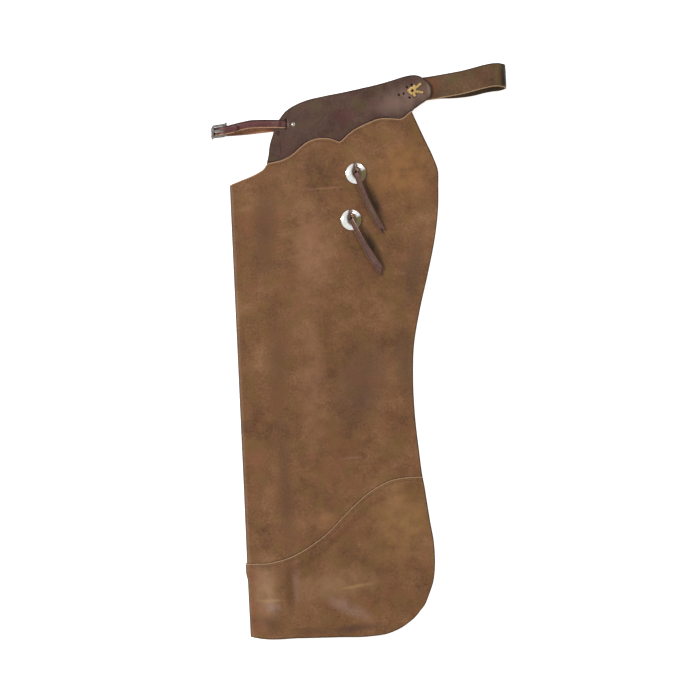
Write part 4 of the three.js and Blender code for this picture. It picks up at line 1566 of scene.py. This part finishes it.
@dataclass
class Band:
    """A flat leather band along stations.

    Args:
        name: the piece's name.
        node: the CAD node that it stands for, or nothing.
        side: the leg, whose outside its heights point to.
        stations: its path.
        thickness: its wall in millimetres.
        finish: its leather or metal.
        slot: the name of a material slot; not used.
        across: the direction of its width in the plane.
        tip: how its far end is cut, over tip_length millimetres.
        on_grain: whether its heights count from the grain side.
        flesh: the finish of its back, where that differs.
        turned: whether its back is the side that first looks up.
        lip_right: whether its light raw edge is on the right of its run, not on the left.
        lip_fade: how fast that edge fades along it.
        cell: the size of its mesh along it, in millimetres.
        rounding: the radius of its edges in millimetres.
        holes: the tools for its holes, where it has any.
    """

    name: str
    node: str
    side: Side
    stations: Sequence[Station]
    thickness: float
    finish: Finish
    slot: str
    across: Vector = Vector((0.0, 1.0, 0.0))
    tip: Tip = Tip.SQUARE
    tip_length: float = 0.0
    on_grain: bool = False
    flesh: RawEdge | None = None
    turned: bool = False
    lip_right: bool = False
    lip_fade: float = 0.0
    cell: float = 2.5
    rounding: float = 0.5
    holes: bmesh.types.BMesh | None = None

    # The shortest step between stations, the fewest rows, and how its lines are spread across.
    least_step = 1e-3
    fewest_rows = 8
    edge_share, middle_cell, fewest_lines = 0.35, 4.0, 3
    # The fork: its depth and half width, and how much deeper one prong is cut, from where on.
    fork_depth, fork_reach, fork_slant, fork_slant_from = 0.9, 0.75, 0.35, 0.2

    def path(self) -> tuple[list[float], list[Curve]]:
        """Returns the run of each station, and curves of x, y, z and width over the run."""
        runs = [0.0]
        for before, after in zip(self.stations, self.stations[1:]):
            step = Vector((after.x - before.x, after.y - before.y, after.z - before.z)).length
            runs.append(runs[-1] + max(step, self.least_step))
        values = [[getattr(s, key) for s in self.stations] for key in ("x", "y", "z", "width")]
        return runs, [Curve(list(zip(runs, line))) for line in values]

    def cut(self, t: float) -> float:
        """Returns how far short of its end the band stops.

        Args:
            t: the place across it, from -1 to 1.

        Returns:
            The millimetres that are cut off there.
        """
        if self.tip is Tip.SLANTED:
            return self.tip_length * (t + 1) / 2
        if self.tip is Tip.FORKED:
            fork = self.fork_depth * bell(t, self.fork_reach)
            return self.tip_length * (fork + self.fork_slant * smooth(t, self.fork_slant_from, 1.0))
        if self.tip is Tip.POINTED:
            return self.tip_length * t * t
        return 0.0

    def lines(self) -> list[float]:
        """Returns the places across of its lines, from -1 to 1, closest at its edges."""
        widest = max(station.width for station in self.stations)
        insets = [inset for inset in NEAR_EDGE if inset < widest * self.edge_share]
        count = max(int(widest / self.middle_cell), self.fewest_lines)
        middle = [mix(insets[-1], widest - insets[-1], s) for s in steps(count)][1:-1]
        return [2 * d / widest - 1 for d in [*insets, *middle, *(widest - i for i in reversed(insets))]]

    def build(self) -> bpy.types.Object:
        """Builds and dresses the band."""
        runs, (xs, ys, zs, widths) = self.path()
        length = runs[-1]
        count = max(int(length / self.cell), self.fewest_rows)
        lines = self.lines()
        across = self.across.normalized()

        def at(i: int, j: int) -> Cell:
            """Returns the cell of one row and line."""
            t = lines[j]
            end = length - self.cut(t)
            run = i / (count - 1) * end
            width = widths.at(run)
            x = xs.at(run) + across.x * t * width / 2
            y = ys.at(run) + across.y * t * width / 2
            z = zs.at(run) + (Drape.grain(x, y) if self.on_grain else 0.0)
            low = (t + 1) / 2 * width
            lip, dark = (width - low, low) if self.lip_right else (low, width - low)
            edge = min(dark, run, end - run)
            return Cell(Drape.place(self.side, x, y, z), edge, lip + self.lip_fade * run / length)

        bm = mapped_sheet(count, len(lines), at)
        if self.turned:
            bmesh.ops.reverse_faces(bm, faces=bm.faces)
        backs = [self.flesh] if self.flesh else []
        nodes = [self.node] if self.node else []
        piece = finished(self.name, bm, [self.finish, Finishes.raw, *backs], nodes)
        thicken(piece, self.thickness, offset=0.0, flesh=2 * len(backs), rounding=self.rounding)
        if self.holes is None:
            settle(piece)
        else:
            carve(piece, self.holes)
        return piece


def bend(centre: Point, radii: tuple[float, float], start: float, count: int) -> list[Point]:
    """Returns points round a bend in the upright plane.

    Args:
        centre: its middle.
        radii: its radius along and up.
        start: the angle in degrees at which it starts, and ends with the other sign.
        count: the number of points.

    Returns:
        The points.
    """
    x, y, z = centre
    angles = [math.radians(mix(start, -start, s)) for s in steps(count)]
    return [(x - radii[0] * math.cos(a), y, z + radii[1] * math.sin(a)) for a in angles]


def arch(share: float) -> float:
    """Returns how far a stretch is bowed aside at a share of its run: 0 at both ends, 1 in its middle."""
    return math.sin(math.pi * min(max(share, 0.0), 1.0))


class Straps:
    """The back belt and both halves of the front strap."""

    # The height at which they cross the yoke, how far the near half bows aside, and the prong's room.
    over = YOKE_RISE + STRAP_THICKNESS / 2
    bow = 3.0
    prong_room = 4.2
    # The way up through the slit: millimetres along from it, and from the height of that side.
    through_slit = ((9.0, 0.0), (4.6, 0.0), (1.8, 0.5), (0.5, 1.9))
    # The belt's turn: its angle, its points, and the share at each end that is the halves' own.
    turn_angle, turn_points, turn_share = 75, 11, 0.04
    # How soon the belt's far half drops, as it opens.
    drop_pace = 1.25

    def belt(self) -> Band:
        """Returns the back belt: one band from yoke to yoke, folded at the back."""
        under = BELT_THICKNESS / 2 + CLEAR + 0.1
        near = [
            (mix(BELT_START, BELT_END, share), HEIGHT * up, mix(under, BELT_OPEN, wide))
            for share, up, wide in BELT_RUN
        ]
        far = [
            (x, y - BELT_FAR_DROP * min(wide * self.drop_pace, 1.0), -z)
            for (x, y, z), (_, _, wide) in zip(near, BELT_RUN)
        ]
        near_y, far_y = near[-1][1], far[-1][1]
        centre = (BELT_END - BELT_TURN, (near_y + far_y) / 2, 0.0)
        turn = [
            (x, mix(near_y, far_y, mix(self.turn_share, 1 - self.turn_share, share)), z)
            for (x, _, z), share in zip(
                bend(centre, (-BELT_TURN, BELT_OPEN), self.turn_angle, self.turn_points),
                steps(self.turn_points),
            )
        ]
        return Band(
            name="back_belt_leather",
            node="back_belt",
            side=Side.NEAR,
            stations=[Station(*point, BELT_WIDTH) for point in [*near, *turn, *reversed(far)]],
            thickness=BELT_THICKNESS,
            finish=Finishes.belt,
            slot="belt_leather",
            flesh=Finishes.dark_flesh,
            cell=3.0,
        )

    def over_yoke(self, end_y: float) -> list[Point]:
        """Returns the way from under the yoke, up through the slit and over the yoke's edge.

        Args:
            end_y: the height on the leg to which it leads.

        Returns:
            The points.
        """
        below = YOKE_RISE - YOKE_THICKNESS - 3 * CLEAR - STRAP_THICKNESS / 2
        x, y = SLIT
        return [
            (STRAP_START, y, below),
            *((x + along, y, below + lift) for along, lift in self.through_slit),
            *((x - along, y, self.over - lift) for along, lift in self.through_slit[:0:-1]),
            (x - self.through_slit[0][0], mix(y, end_y, 0.35), self.over),
            (mix(x, NEAR_BAR, 0.25), mix(y, end_y, 0.53), self.over),
            (mix(x, NEAR_BAR, 0.41), mix(y, end_y, 0.7), self.over),
        ]

    def half(self, node: str, path: Sequence[Point], hole_x: float, hole: float, tip: Tip) -> Band:
        """Returns one half of the front strap.

        Args:
            node: the CAD node that it stands for.
            path: its middle line.
            hole_x, hole: the place and the length of its slot for the prong.
            tip: how its far end is cut; the half that wraps the buckle is square, and turned.

        Returns:
            The band.
        """
        holes = bmesh.new()
        add_slot(holes, hole_x, BUCKLE_PLACE.y, hole, self.prong_room)
        add_hole(holes, RIVET_PLACE.x, RIVET_PLACE.y, RIVET_HOLE)
        return Band(
            name=f"{node}_leather",
            node=node,
            side=Side.NEAR,
            stations=[Station(*point, STRAP_WIDTH) for point in path],
            thickness=STRAP_THICKNESS,
            finish=Finishes.strap,
            slot="strap_leather",
            flesh=Finishes.tan_flesh,
            tip=tip,
            tip_length=9.0,
            turned=tip is Tip.SQUARE,
            cell=1.5,
            rounding=0.35,
            holes=holes,
        )

    def front_strap(self) -> Band:
        """Returns the near half of the front strap, wrapped round the buckle's near bar."""
        y = BUCKLE_PLACE.y + 1
        top, low = BUCKLE_Z + WRAP, BUCKLE_Z - WRAP
        path = [
            *self.over_yoke(SLIT.y),
            (mix(SLIT.x, NEAR_BAR, 0.59), SLIT.y, self.over),
            (mix(SLIT.x, NEAR_BAR, 0.76), mix(SLIT.y, y, 0.4), top),
            (mix(SLIT.x, NEAR_BAR, 0.9), mix(SLIT.y, y, 0.75), top),
            *bend((NEAR_BAR, y, BUCKLE_Z), (WRAP, WRAP), 80, 7),
            (mix(SLIT.x, NEAR_BAR, 0.9), y + 1, low),
            (mix(SLIT.x, NEAR_BAR, 0.78), y + 2, low + 0.7),
        ]
        span = SLIT.x - NEAR_BAR
        aside = [(x, y + self.bow * arch((SLIT.x - x) / span), z) for x, y, z in path]
        return self.half("front_strap", aside, NEAR_BAR, BUCKLE_WIRE + 10, Tip.SQUARE)

    def billet(self) -> Band:
        """Returns the far half of the front strap, up round the front and through the buckle."""
        y = BUCKLE_PLACE.y - 1
        under = BUCKLE_Z - BUCKLE_WIRE / 2 - CLEAR - STRAP_THICKNESS / 2
        over = BUCKLE_Z + WRAP + STRAP_THICKNESS + 2 * CLEAR
        low = -self.over
        radius = (under - low) / 2
        path = [
            *((x, across, -z) for x, across, z in self.over_yoke(y)),
            (mix(SLIT.x, FAR_BAR, 0.48), y + 0.8, low),
            (mix(SLIT.x, FAR_BAR, 0.63), y, low),
            (mix(SLIT.x, FAR_BAR, 0.8), y - 0.5, low),
            (mix(SLIT.x, FAR_BAR, 0.9), y - 0.3, low),
            *bend((FAR_BAR + 3.3, y, (under + low) / 2), (radius, radius), -80, 9),
            (mix(FAR_BAR, NEAR_BAR, 0.24), y + 0.4, under + 0.3),
            (mix(FAR_BAR, NEAR_BAR, 0.64), y + 1, mix(under, over, 0.74)),
            (mix(FAR_BAR, NEAR_BAR, 0.84), y + 1.5, mix(under, over, 0.94)),
            (mix(FAR_BAR, NEAR_BAR, 1.18), y + 2.3, over),
            (mix(FAR_BAR, NEAR_BAR, 1.66), y + 4.5, over),
            (mix(FAR_BAR, NEAR_BAR, 1.94), y + 5.3, over),
        ]
        return self.half("front_billet", path, BUCKLE_PLACE.x - 1, BUCKLE_LENGTH * 0.54, Tip.POINTED)


@dataclass(frozen=True)
class Fastener:
    """One concho with its string and the hidden leg strap behind it.

    Args:
        name: upper or lower.
        side: the leg.
        x, y: the concho's middle, in millimetres on the leg.
        tip_x, tip_y: where the string ends.
        width, end_width: the string's width over the rim and near its end.
        tip: how the string's end is cut.
        bow: how far it bows aside.
        lip_fade: how fast its light edge fades along it.
        notch: the width of the concho's notch.
    """

    name: str
    side: Side
    x: float
    y: float
    tip_x: float
    tip_y: float
    width: float
    end_width: float
    tip: Tip
    bow: float
    lip_fade: float
    notch: float = 3.2

    # The slot for the string, the widths of its knot and of the leg strap, and where that strap leads.
    slot_length, slot_width = 9.4, 4.6
    knot_width = 8.0
    strap_width, strap_end_width = 24.0, 12.0
    strap_run = (-82.0, -76.0, 0.0)
    strap_stations = (-13.0, -8.0, 10.0, 30.0, 55.0, 80.0, 100.0)
    # The thong in the notch: its height over the grain, its thickness, and its stations out to the rim.
    thong_level, thong_thickness = 1.7, 2.2
    thong_stations = (0.28, 0.6, 0.94)

    @property
    def middle(self) -> Vector:
        """Returns the concho's middle."""
        return Vector((self.x, self.y, 0.0))

    @property
    def run(self) -> Vector:
        """Returns the way from the concho to the string's tip."""
        return Vector((self.tip_x - self.x, self.tip_y - self.y, 0.0))

    def slot_tool(self) -> bmesh.types.BMesh:
        """Returns the tool for the slot that the string passes through."""
        tools = bmesh.new()
        turn = math.atan2(self.run.y, self.run.x) + math.pi / 2
        add_slot(tools, self.x, self.y, self.slot_length, self.slot_width, turn)
        return tools

    def string(self) -> Band:
        """Returns the string: up through the concho, over its rim and down along the leg."""
        length = self.run.length
        along = self.run.normalized()
        across = Vector((-along.y, along.x, 0.0))
        strap = LEG_STRAP_LEVEL - LEG_STRAP_THICKNESS / 2 - 2 * CLEAR
        knot = strap - STRING_THICKNESS / 2 - Drape.grain(self.x, self.y)
        over = CONCHO_HEIGHT + 2
        stations = [
            (-9, knot, self.knot_width),
            (-4, knot, self.knot_width),
            (-1.2, knot + 0.5, self.knot_width),
            (-0.2, knot + 2, self.knot_width),
            (0, over - 3, self.knot_width),
            (1.2, over - 1, self.knot_width),
            (4, over, self.width * 0.9),
            (CONCHO_RADIUS * 0.7, over - 0.2, self.width),
            (CONCHO_RADIUS + 2, over - 0.8, self.width),
            (CONCHO_RADIUS + 14, over - 1.0, self.width),
            (length * 0.5, 5.6, mix(self.width, self.end_width, 0.6)),
            (length * 0.75, 4.8, self.end_width),
            (length * 0.9, 2.6, self.end_width * 0.95),
            (length, 1.8, self.end_width * 0.8),
        ]
        path = []
        for run, up, width in stations:
            spot = self.middle + along * run - across * self.bow * arch(run / length)
            path.append(Station(spot.x, spot.y, up, width))
        node = f"{self.side.leg}_{self.name}_string"
        return Band(
            name=f"{node}_leather",
            node=node,
            side=self.side,
            stations=path,
            thickness=STRING_THICKNESS,
            finish=Finishes.string,
            slot="string_leather",
            across=across,
            tip=self.tip,
            tip_length=12.0,
            on_grain=True,
            lip_right=True,
            lip_fade=self.lip_fade,
            cell=1.5,
            rounding=0.4,
        )

    def thong(self) -> Band:
        """Returns the short thong that lies in the concho's notch."""
        width = self.notch - 2 * CLEAR
        return Band(
            name=f"{self.side.leg}_{self.name}_notch_thong",
            node="",
            side=self.side,
            stations=[
                Station(self.x, self.y + share * CONCHO_RADIUS, self.thong_level, width)
                for share in self.thong_stations
            ],
            thickness=self.thong_thickness,
            finish=Finishes.thong,
            slot="string_leather",
            across=Vector((-1.0, 0.0, 0.0)),
            on_grain=True,
            cell=1.5,
            rounding=0.4,
        )

    def leg_strap(self) -> Band:
        """Returns the hidden strap from the concho's back to the inner half of the leg."""
        away = Vector(self.strap_run)
        along = away.normalized()
        widths = [self.strap_end_width] + [self.strap_width] * len(self.strap_stations)
        spots = [self.middle + along * run for run in (*self.strap_stations, away.length)]
        node = f"{self.side.leg}_{self.name}_leg_strap"
        return Band(
            name=f"{node}_leather",
            node=node,
            side=self.side,
            stations=[Station(spot.x, spot.y, LEG_STRAP_LEVEL, width) for spot, width in zip(spots, widths)],
            thickness=LEG_STRAP_THICKNESS,
            finish=Finishes.leg,
            slot="leg_leather",
            across=Vector((-along.y, along.x, 0.0)),
            cell=3.0,
            holes=self.slot_tool(),
        )

    def concho(self) -> bpy.types.Object:
        """Builds the domed concho with its slot and the notch up to its rim."""
        bm = spun([(r * CONCHO_RADIUS, h * CONCHO_HEIGHT) for r, h in CONCHO_PROFILE], 72)
        lay(bm, self.side, self.x, self.y, Drape.grain)
        node = f"{self.side.leg}_{self.name}_concho"
        piece = finished(f"{node}_metal", bm, [Finishes.silver], [node])
        carve(piece, self.slot_tool())
        notch = bmesh.new()
        add_slot(notch, self.x, self.y + CONCHO_RADIUS, self.notch, 2 * CONCHO_RADIUS)
        carve(piece, notch)
        return piece


def fasteners(side: Side) -> tuple[Fastener, Fastener]:
    """Returns both fasteners of a leg.

    Args:
        side: the leg.

    Returns:
        The upper one and the lower one.
    """
    upper = Fastener(
        "upper",
        side,
        *CONCHO_PLACES[0],
        tip_x=WIDTH * 0.809,
        tip_y=HEIGHT * 0.768,
        width=9.5,
        end_width=10.0,
        tip=Tip.FORKED,
        bow=3.6,
        lip_fade=40.0,
    )
    lower = Fastener(
        "lower",
        side,
        *CONCHO_PLACES[1],
        tip_x=WIDTH * 0.797,
        tip_y=HEIGHT * 0.6872,
        width=8.5,
        end_width=13.0,
        tip=Tip.SLANTED,
        bow=2.6,
        lip_fade=5.0,
    )
    return upper, lower


# Small fittings


@dataclass
class Buckle:
    """The front buckle: a bent wire frame and its prong.

    Args:
        corner: the radius of the frame's corners, in millimetres.
        bar: the width of its wire, seen from above.
        rounding: the radius of the wire's edges.
        rise, lean: how far it is skewed up along its run, and along it up its height.
        flare: the half length of the flares on two of its corners.
        flare_turn: how far those are turned, in degrees.
    """

    corner: float = 4.0
    bar: float = 4.2
    rounding: float = 1.1
    rise: float = 0.1
    lean: float = 0.12
    flare: float = 4.0
    flare_turn: float = 48.0

    def frame(self) -> bpy.types.Object:
        """Builds the frame from a bevelled ring."""
        bm = bmesh.new()
        bmesh.ops.create_grid(bm, x_segments=1, y_segments=1, size=0.5)
        bmesh.ops.scale(bm, vec=(BUCKLE_LENGTH, BUCKLE_HEIGHT, 1.0), verts=bm.verts)
        bmesh.ops.bevel(
            bm,
            geom=bm.verts,
            offset=self.corner,
            segments=8,
            profile=0.5,
            affect="VERTICES",
            material=-1,
        )
        bmesh.ops.inset_region(
            bm, faces=bm.faces, thickness=self.bar, use_even_offset=True, use_boundary=True
        )
        inner = min(bm.faces, key=lambda face: face.calc_center_median().length)
        bmesh.ops.delete(bm, geom=[inner], context="FACES")
        skew = Matrix(((1, self.lean, 0, 0), (self.rise, 1, 0, 0), (0, 0, 1, 0), (0, 0, 0, 1)))
        bmesh.ops.transform(bm, matrix=skew, verts=bm.verts)
        lay(bm, Side.NEAR, BUCKLE_PLACE.x, BUCKLE_PLACE.y, lambda x, y: BUCKLE_Z + BUCKLE_WIRE / 2)
        bm.normal_update()
        face_up(bm, 1.0)
        piece = finished("buckle_metal", bm, [Finishes.nickel], ["buckle"])
        wall = piece.modifiers.new("wall", "SOLIDIFY")
        wall.thickness = BUCKLE_WIRE * MM
        wall.offset = -1.0
        soften(piece, self.rounding, segments=4)
        settle(piece)
        self.add_flares(piece)
        return piece

    def add_flares(self, piece: bpy.types.Object) -> None:
        """Adds a leaf-shaped flare to two opposite corners of the frame.

        Args:
            piece: the frame.
        """
        bm = bmesh.new()
        bm.from_mesh(piece.data)
        along = BUCKLE_LENGTH / 2 - self.corner / 2
        up = BUCKLE_HEIGHT / 2 - self.corner / 3 + self.rise * BUCKLE_LENGTH / 2
        sizes = (self.flare * MM, self.flare / 2 * MM, self.flare / 3 * MM)
        for way in (1.0, -1.0):
            x, y = BUCKLE_PLACE.x + way * along, BUCKLE_PLACE.y + way * up
            centre = Drape.place(Side.NEAR, x, y, BUCKLE_Z + BUCKLE_WIRE / 2)
            place = Matrix.Translation(centre) @ Matrix.Rotation(math.radians(self.flare_turn), 4, "Z")
            add_bead(bm, place, sizes, around=16, high=10)
        bm.to_mesh(piece.data)
        bm.free()
        piece.data.shade_smooth()

    def prong(self) -> Band:
        """Returns the prong, hooked over the near bar and resting on the far one."""
        away = BUCKLE_WIRE / 2 + CLEAR + 0.8
        y, z = BUCKLE_PLACE.y, BUCKLE_Z
        return Band(
            name="buckle_prong_metal",
            node="buckle_prong",
            side=Side.NEAR,
            stations=[
                Station(NEAR_BAR + away, y, z - 1.2, 3.0),
                Station(NEAR_BAR + away, y, z + 1.2, 3.0),
                Station(NEAR_BAR + away - 0.7, y, z + away - 0.3, 3.0),
                Station(NEAR_BAR, y, z + away, 3.0),
                Station(FAR_BAR + 2.4, y, z + away, 2.8),
                Station(FAR_BAR - 2.4, y, z + away, 1.6),
            ],
            thickness=1.6,
            finish=Finishes.nickel,
            slot="silver",
            cell=1.0,
            rounding=0.5,
        )


@dataclass
class Rivet:
    """The rivet that holds the end of the front strap under the yoke.

    Args:
        side: the leg.
        head, shank: the radius of its head and of its shank.
    """

    side: Side
    head: float = 3.8
    shank: float = 1.5

    # The domed head: share of its radius, height over the yoke.
    dome = ((1.0, 0.0), (1.0, 0.3), (0.9, 0.8), (0.65, 1.2), (0.35, 1.45), (0.0, 1.5))

    def build(self) -> bpy.types.Object:
        """Builds the rivet by spinning its profile."""
        foot = YOKE_RISE - YOKE_THICKNESS - 2 * CLEAR - STRAP_THICKNESS + 0.4
        shank = [(0.0, foot), (self.shank, foot), (self.shank, YOKE_RISE)]
        bm = spun([*shank, *((share * self.head, YOKE_RISE + up) for share, up in self.dome)], 32)
        lay(bm, self.side, RIVET_PLACE.x, RIVET_PLACE.y, lambda x, y: 0.0)
        node = f"{self.side.leg}_rivet"
        return finished(f"{node}_metal", bm, [Finishes.steel], [node])


@dataclass
class Lace:
    """The tan lace on the back tip of the yoke: a ring round one hole and two tails to others.

    Args:
        side: the leg.
        ring: the radius of its ring, outside.
        width, height: the sizes of its strand.
    """

    side: Side
    ring: float = 7.6
    width: float = 5.0
    height: float = 2.0

    # The beads of the ring and of each tail, and how long they are along the strand.
    ring_beads, tail_beads = 18, 9
    ring_bead, tail_bead = 1.6, 1.4
    # The pins through the belt: radius, length and the height of their middles.
    pin_radius, pin_length, pin_level = 1.1, 7.4, -2.8

    def build(self) -> bpy.types.Object:
        """Builds the ring, the tails and the pins that go down through the belt."""
        bm = bmesh.new()
        middle = self.ring - self.width / 2
        for k in range(self.ring_beads):
            self.add(bm, math.tau * k / self.ring_beads, middle, (self.width / 2, self.ring_bead))
        for x, y in [*LACE_TAILS, *LACE_STUBS]:
            for share in steps(self.tail_beads):
                run = mix(middle, math.hypot(x, y), share)
                self.add(bm, math.atan2(y, x), run, (self.tail_bead, self.width / 2))
        for x, y in LACE_TAILS:
            bmesh.ops.create_cone(
                bm,
                cap_ends=True,
                segments=12,
                radius1=self.pin_radius,
                radius2=self.pin_radius,
                depth=self.pin_length,
                matrix=Matrix.Translation((LACE_PIN_SHARE * x, LACE_PIN_SHARE * y, self.pin_level)),
            )
        lay(bm, self.side, LACE_PLACE.x, LACE_PLACE.y, lambda x, y: YOKE_RISE)
        node = f"{self.side.leg}_lace"
        return finished(f"{node}_tan", bm, [Finishes.lace], [node])

    def add(self, bm: bmesh.types.BMesh, turn: float, run: float, sizes: tuple[float, float]) -> None:
        """Adds one bead of the strand.

        Args:
            bm: the lace's mesh.
            turn, run: its direction from the hole, and how far away it is.
            sizes: its half sizes along that direction and across it.
        """
        place = Matrix.Rotation(turn, 4, "Z") @ Matrix.Translation((run, 0.0, self.height / 2))
        add_bead(bm, place, (*sizes, self.height / 2), around=10, high=6)


@dataclass
class Stitching:
    """A row of stitches along an edge of a leg.

    Args:
        name: the piece's name without the leg.
        side: the leg.
        line: the edge that it follows.
        width: the width that the edge's shares count.
        start, end: the shares between which it is sewn.
        inset: millimetres from the edge.
        lift: millimetres over the grain side.
        pitch, length, thickness: the sizes of a stitch.
    """

    name: str
    side: Side
    line: Curve
    width: float
    start: float
    end: float
    inset: float
    lift: float
    pitch: float = 5.2
    length: float = 3.4
    thickness: float = 0.8

    def build(self) -> bpy.types.Object:
        """Builds every stitch of the row."""
        bm = bmesh.new()
        x = self.start * self.width
        while x < self.end * self.width:
            y = HEIGHT * self.line.at(x / self.width)
            ahead = HEIGHT * self.line.at((x + 1) / self.width)
            slope = Vector((1.0, ahead - y, 0.0)).normalized()
            spot = Vector((x, y, 0.0)) + Vector((slope.y, -slope.x, 0.0)) * self.inset
            self.add(bm, spot, math.atan2(slope.y, slope.x))
            x += self.pitch * slope.x
        bmesh.ops.recalc_face_normals(bm, faces=bm.faces)
        return finished(f"{self.side.leg}_{self.name}", bm, [Finishes.thread])

    def add(self, bm: bmesh.types.BMesh, spot: Vector, turn: float) -> None:
        """Adds one stitch to the row, half sunk in the leather.

        Args:
            bm: the row's mesh.
            spot: its place on the leg.
            turn: its direction in radians.
        """
        height = Drape.flesh(spot.x, spot.y) + LEG_THICKNESS + self.lift
        centre = Drape.place(self.side, spot.x, spot.y, height)
        thick = self.thickness / 2 * MM
        place = Matrix.Translation(centre) @ Matrix.Rotation(turn, 4, "Z")
        add_bead(bm, place, (self.length / 2 * MM, thick, thick), around=8, high=5)


# The studio


@dataclass(frozen=True)
class Sun:
    """One far light.

    Args:
        name: its name.
        direction: the way its light goes.
        strength: its strength.
        spread: its width in degrees, which softens the shadows.
    """

    name: str
    direction: Point
    strength: float
    spread: float

    def shine(self) -> None:
        """Makes the light."""
        data = bpy.data.lights.new(self.name, "SUN")
        data.energy = self.strength
        data.angle = math.radians(self.spread)
        sun = linked(self.name, data)
        direction = Vector(self.direction)
        sun.rotation_euler = direction.to_track_quat("-Z", "Y").to_euler()
        sun.location = -2.0 * direction


@dataclass
class Studio:
    """Plain pale floor, soft light and a camera straight above, turned as the photograph was.

    Args:
        turn: how far the camera is turned, in degrees.
        view_width: the width that it sees, in millimetres.
        sensor, lens: its sensor's width and its focal length.
        middle: the place on the leg under it.
        level: the height at which it sees that width.
        key, fill: the light from the left, and the weaker one from the back.
        surroundings: how bright the white surroundings are.
        floor_reach: half the floor's width, in metres.
        floor_drop: how far it lies under the chaps, in millimetres.
        floor_tone, floor_glow: how pale it is, and how strongly it shines by itself.
    """

    turn: float = 2.66
    view_width: float = 1267.0
    sensor: float = 36.0
    lens: float = 135.0
    middle: tuple[float, float] = (204.1, 512.4)
    level: float = 30.0
    key: Sun = Sun("key", (1.0, -0.3, -0.9), strength=2.3, spread=9.0)
    fill: Sun = Sun("fill", (-0.55, -0.8, -1.0), strength=0.5, spread=14.0)
    surroundings: float = 0.58
    floor_reach: float = 40.0
    floor_drop: float = 0.5
    floor_tone: float = 0.92
    floor_glow: float = 0.7

    def camera(self) -> None:
        """Makes the camera."""
        data = bpy.data.cameras.new("camera")
        data.lens = self.lens
        data.sensor_width = self.sensor
        camera = linked("camera", data)
        away = self.view_width * self.lens / self.sensor
        camera.location = in_frame(*self.middle, self.level + away)
        camera.rotation_euler = (0.0, 0.0, -math.radians(self.turn))
        bpy.context.scene.camera = camera

    def light(self) -> None:
        """Makes both lights and the bright surroundings."""
        self.key.shine()
        self.fill.shine()
        world = bpy.data.worlds.new("studio")
        world.use_nodes = True
        background = world.node_tree.nodes["Background"]
        background.inputs["Color"].default_value = WHITE
        background.inputs["Strength"].default_value = self.surroundings
        bpy.context.scene.world = world
        bpy.context.scene.view_settings.view_transform = "Standard"

    def floor(self) -> None:
        """Makes the pale floor."""
        bm = bmesh.new()
        bmesh.ops.create_grid(bm, x_segments=1, y_segments=1, size=self.floor_reach)
        bmesh.ops.translate(bm, vec=(0, 0, -self.floor_drop * MM), verts=bm.verts)
        mesh = bpy.data.meshes.new("floor")
        bm.to_mesh(mesh)
        bm.free()
        mesh.materials.append(Graph("pale_floor").close({
            "Base Color": (self.floor_tone, self.floor_tone, self.floor_tone, 1.0),
            "Roughness": 0.9,
            "Emission Color": WHITE,
            "Emission Strength": self.floor_glow,
        }))
        linked("floor", mesh)


# The size of the leather's mesh in millimetres, finer on the leg that shows.
CELLS = {Side.NEAR: 4.0, Side.FAR: 8.0}


def main() -> None:
    """Builds the chaps leg by leg, then their straps, and lights them."""
    logging.basicConfig(level=logging.INFO, format="%(message)s")
    studio = Studio()
    studio.camera()
    studio.light()
    studio.floor()
    for side, cell in CELLS.items():
        upper_panel(side, cell).build()
        lower_panel(side, cell).build()
        Yoke(side, cell).build()
        Stitching(
            "scallop_stitches", side, TOP, TOP_WIDTH, start=0.23, end=0.93, inset=5.5, lift=0.1
        ).build()
        Stitching(
            "seam_stitches", side, SEAM, SEAM_WIDTH, start=0.03, end=0.97, inset=6.0, lift=2.8
        ).build()
        for fastener in fasteners(side):
            fastener.concho()
            fastener.string().build()
            fastener.thong().build()
            fastener.leg_strap().build()
        Rivet(side).build()
        Lace(side).build()
    straps = Straps()
    straps.belt().build()
    straps.front_strap().build()
    straps.billet().build()
    buckle = Buckle()
    buckle.frame()
    buckle.prong().build()


if __name__ == "__main__":
    main()
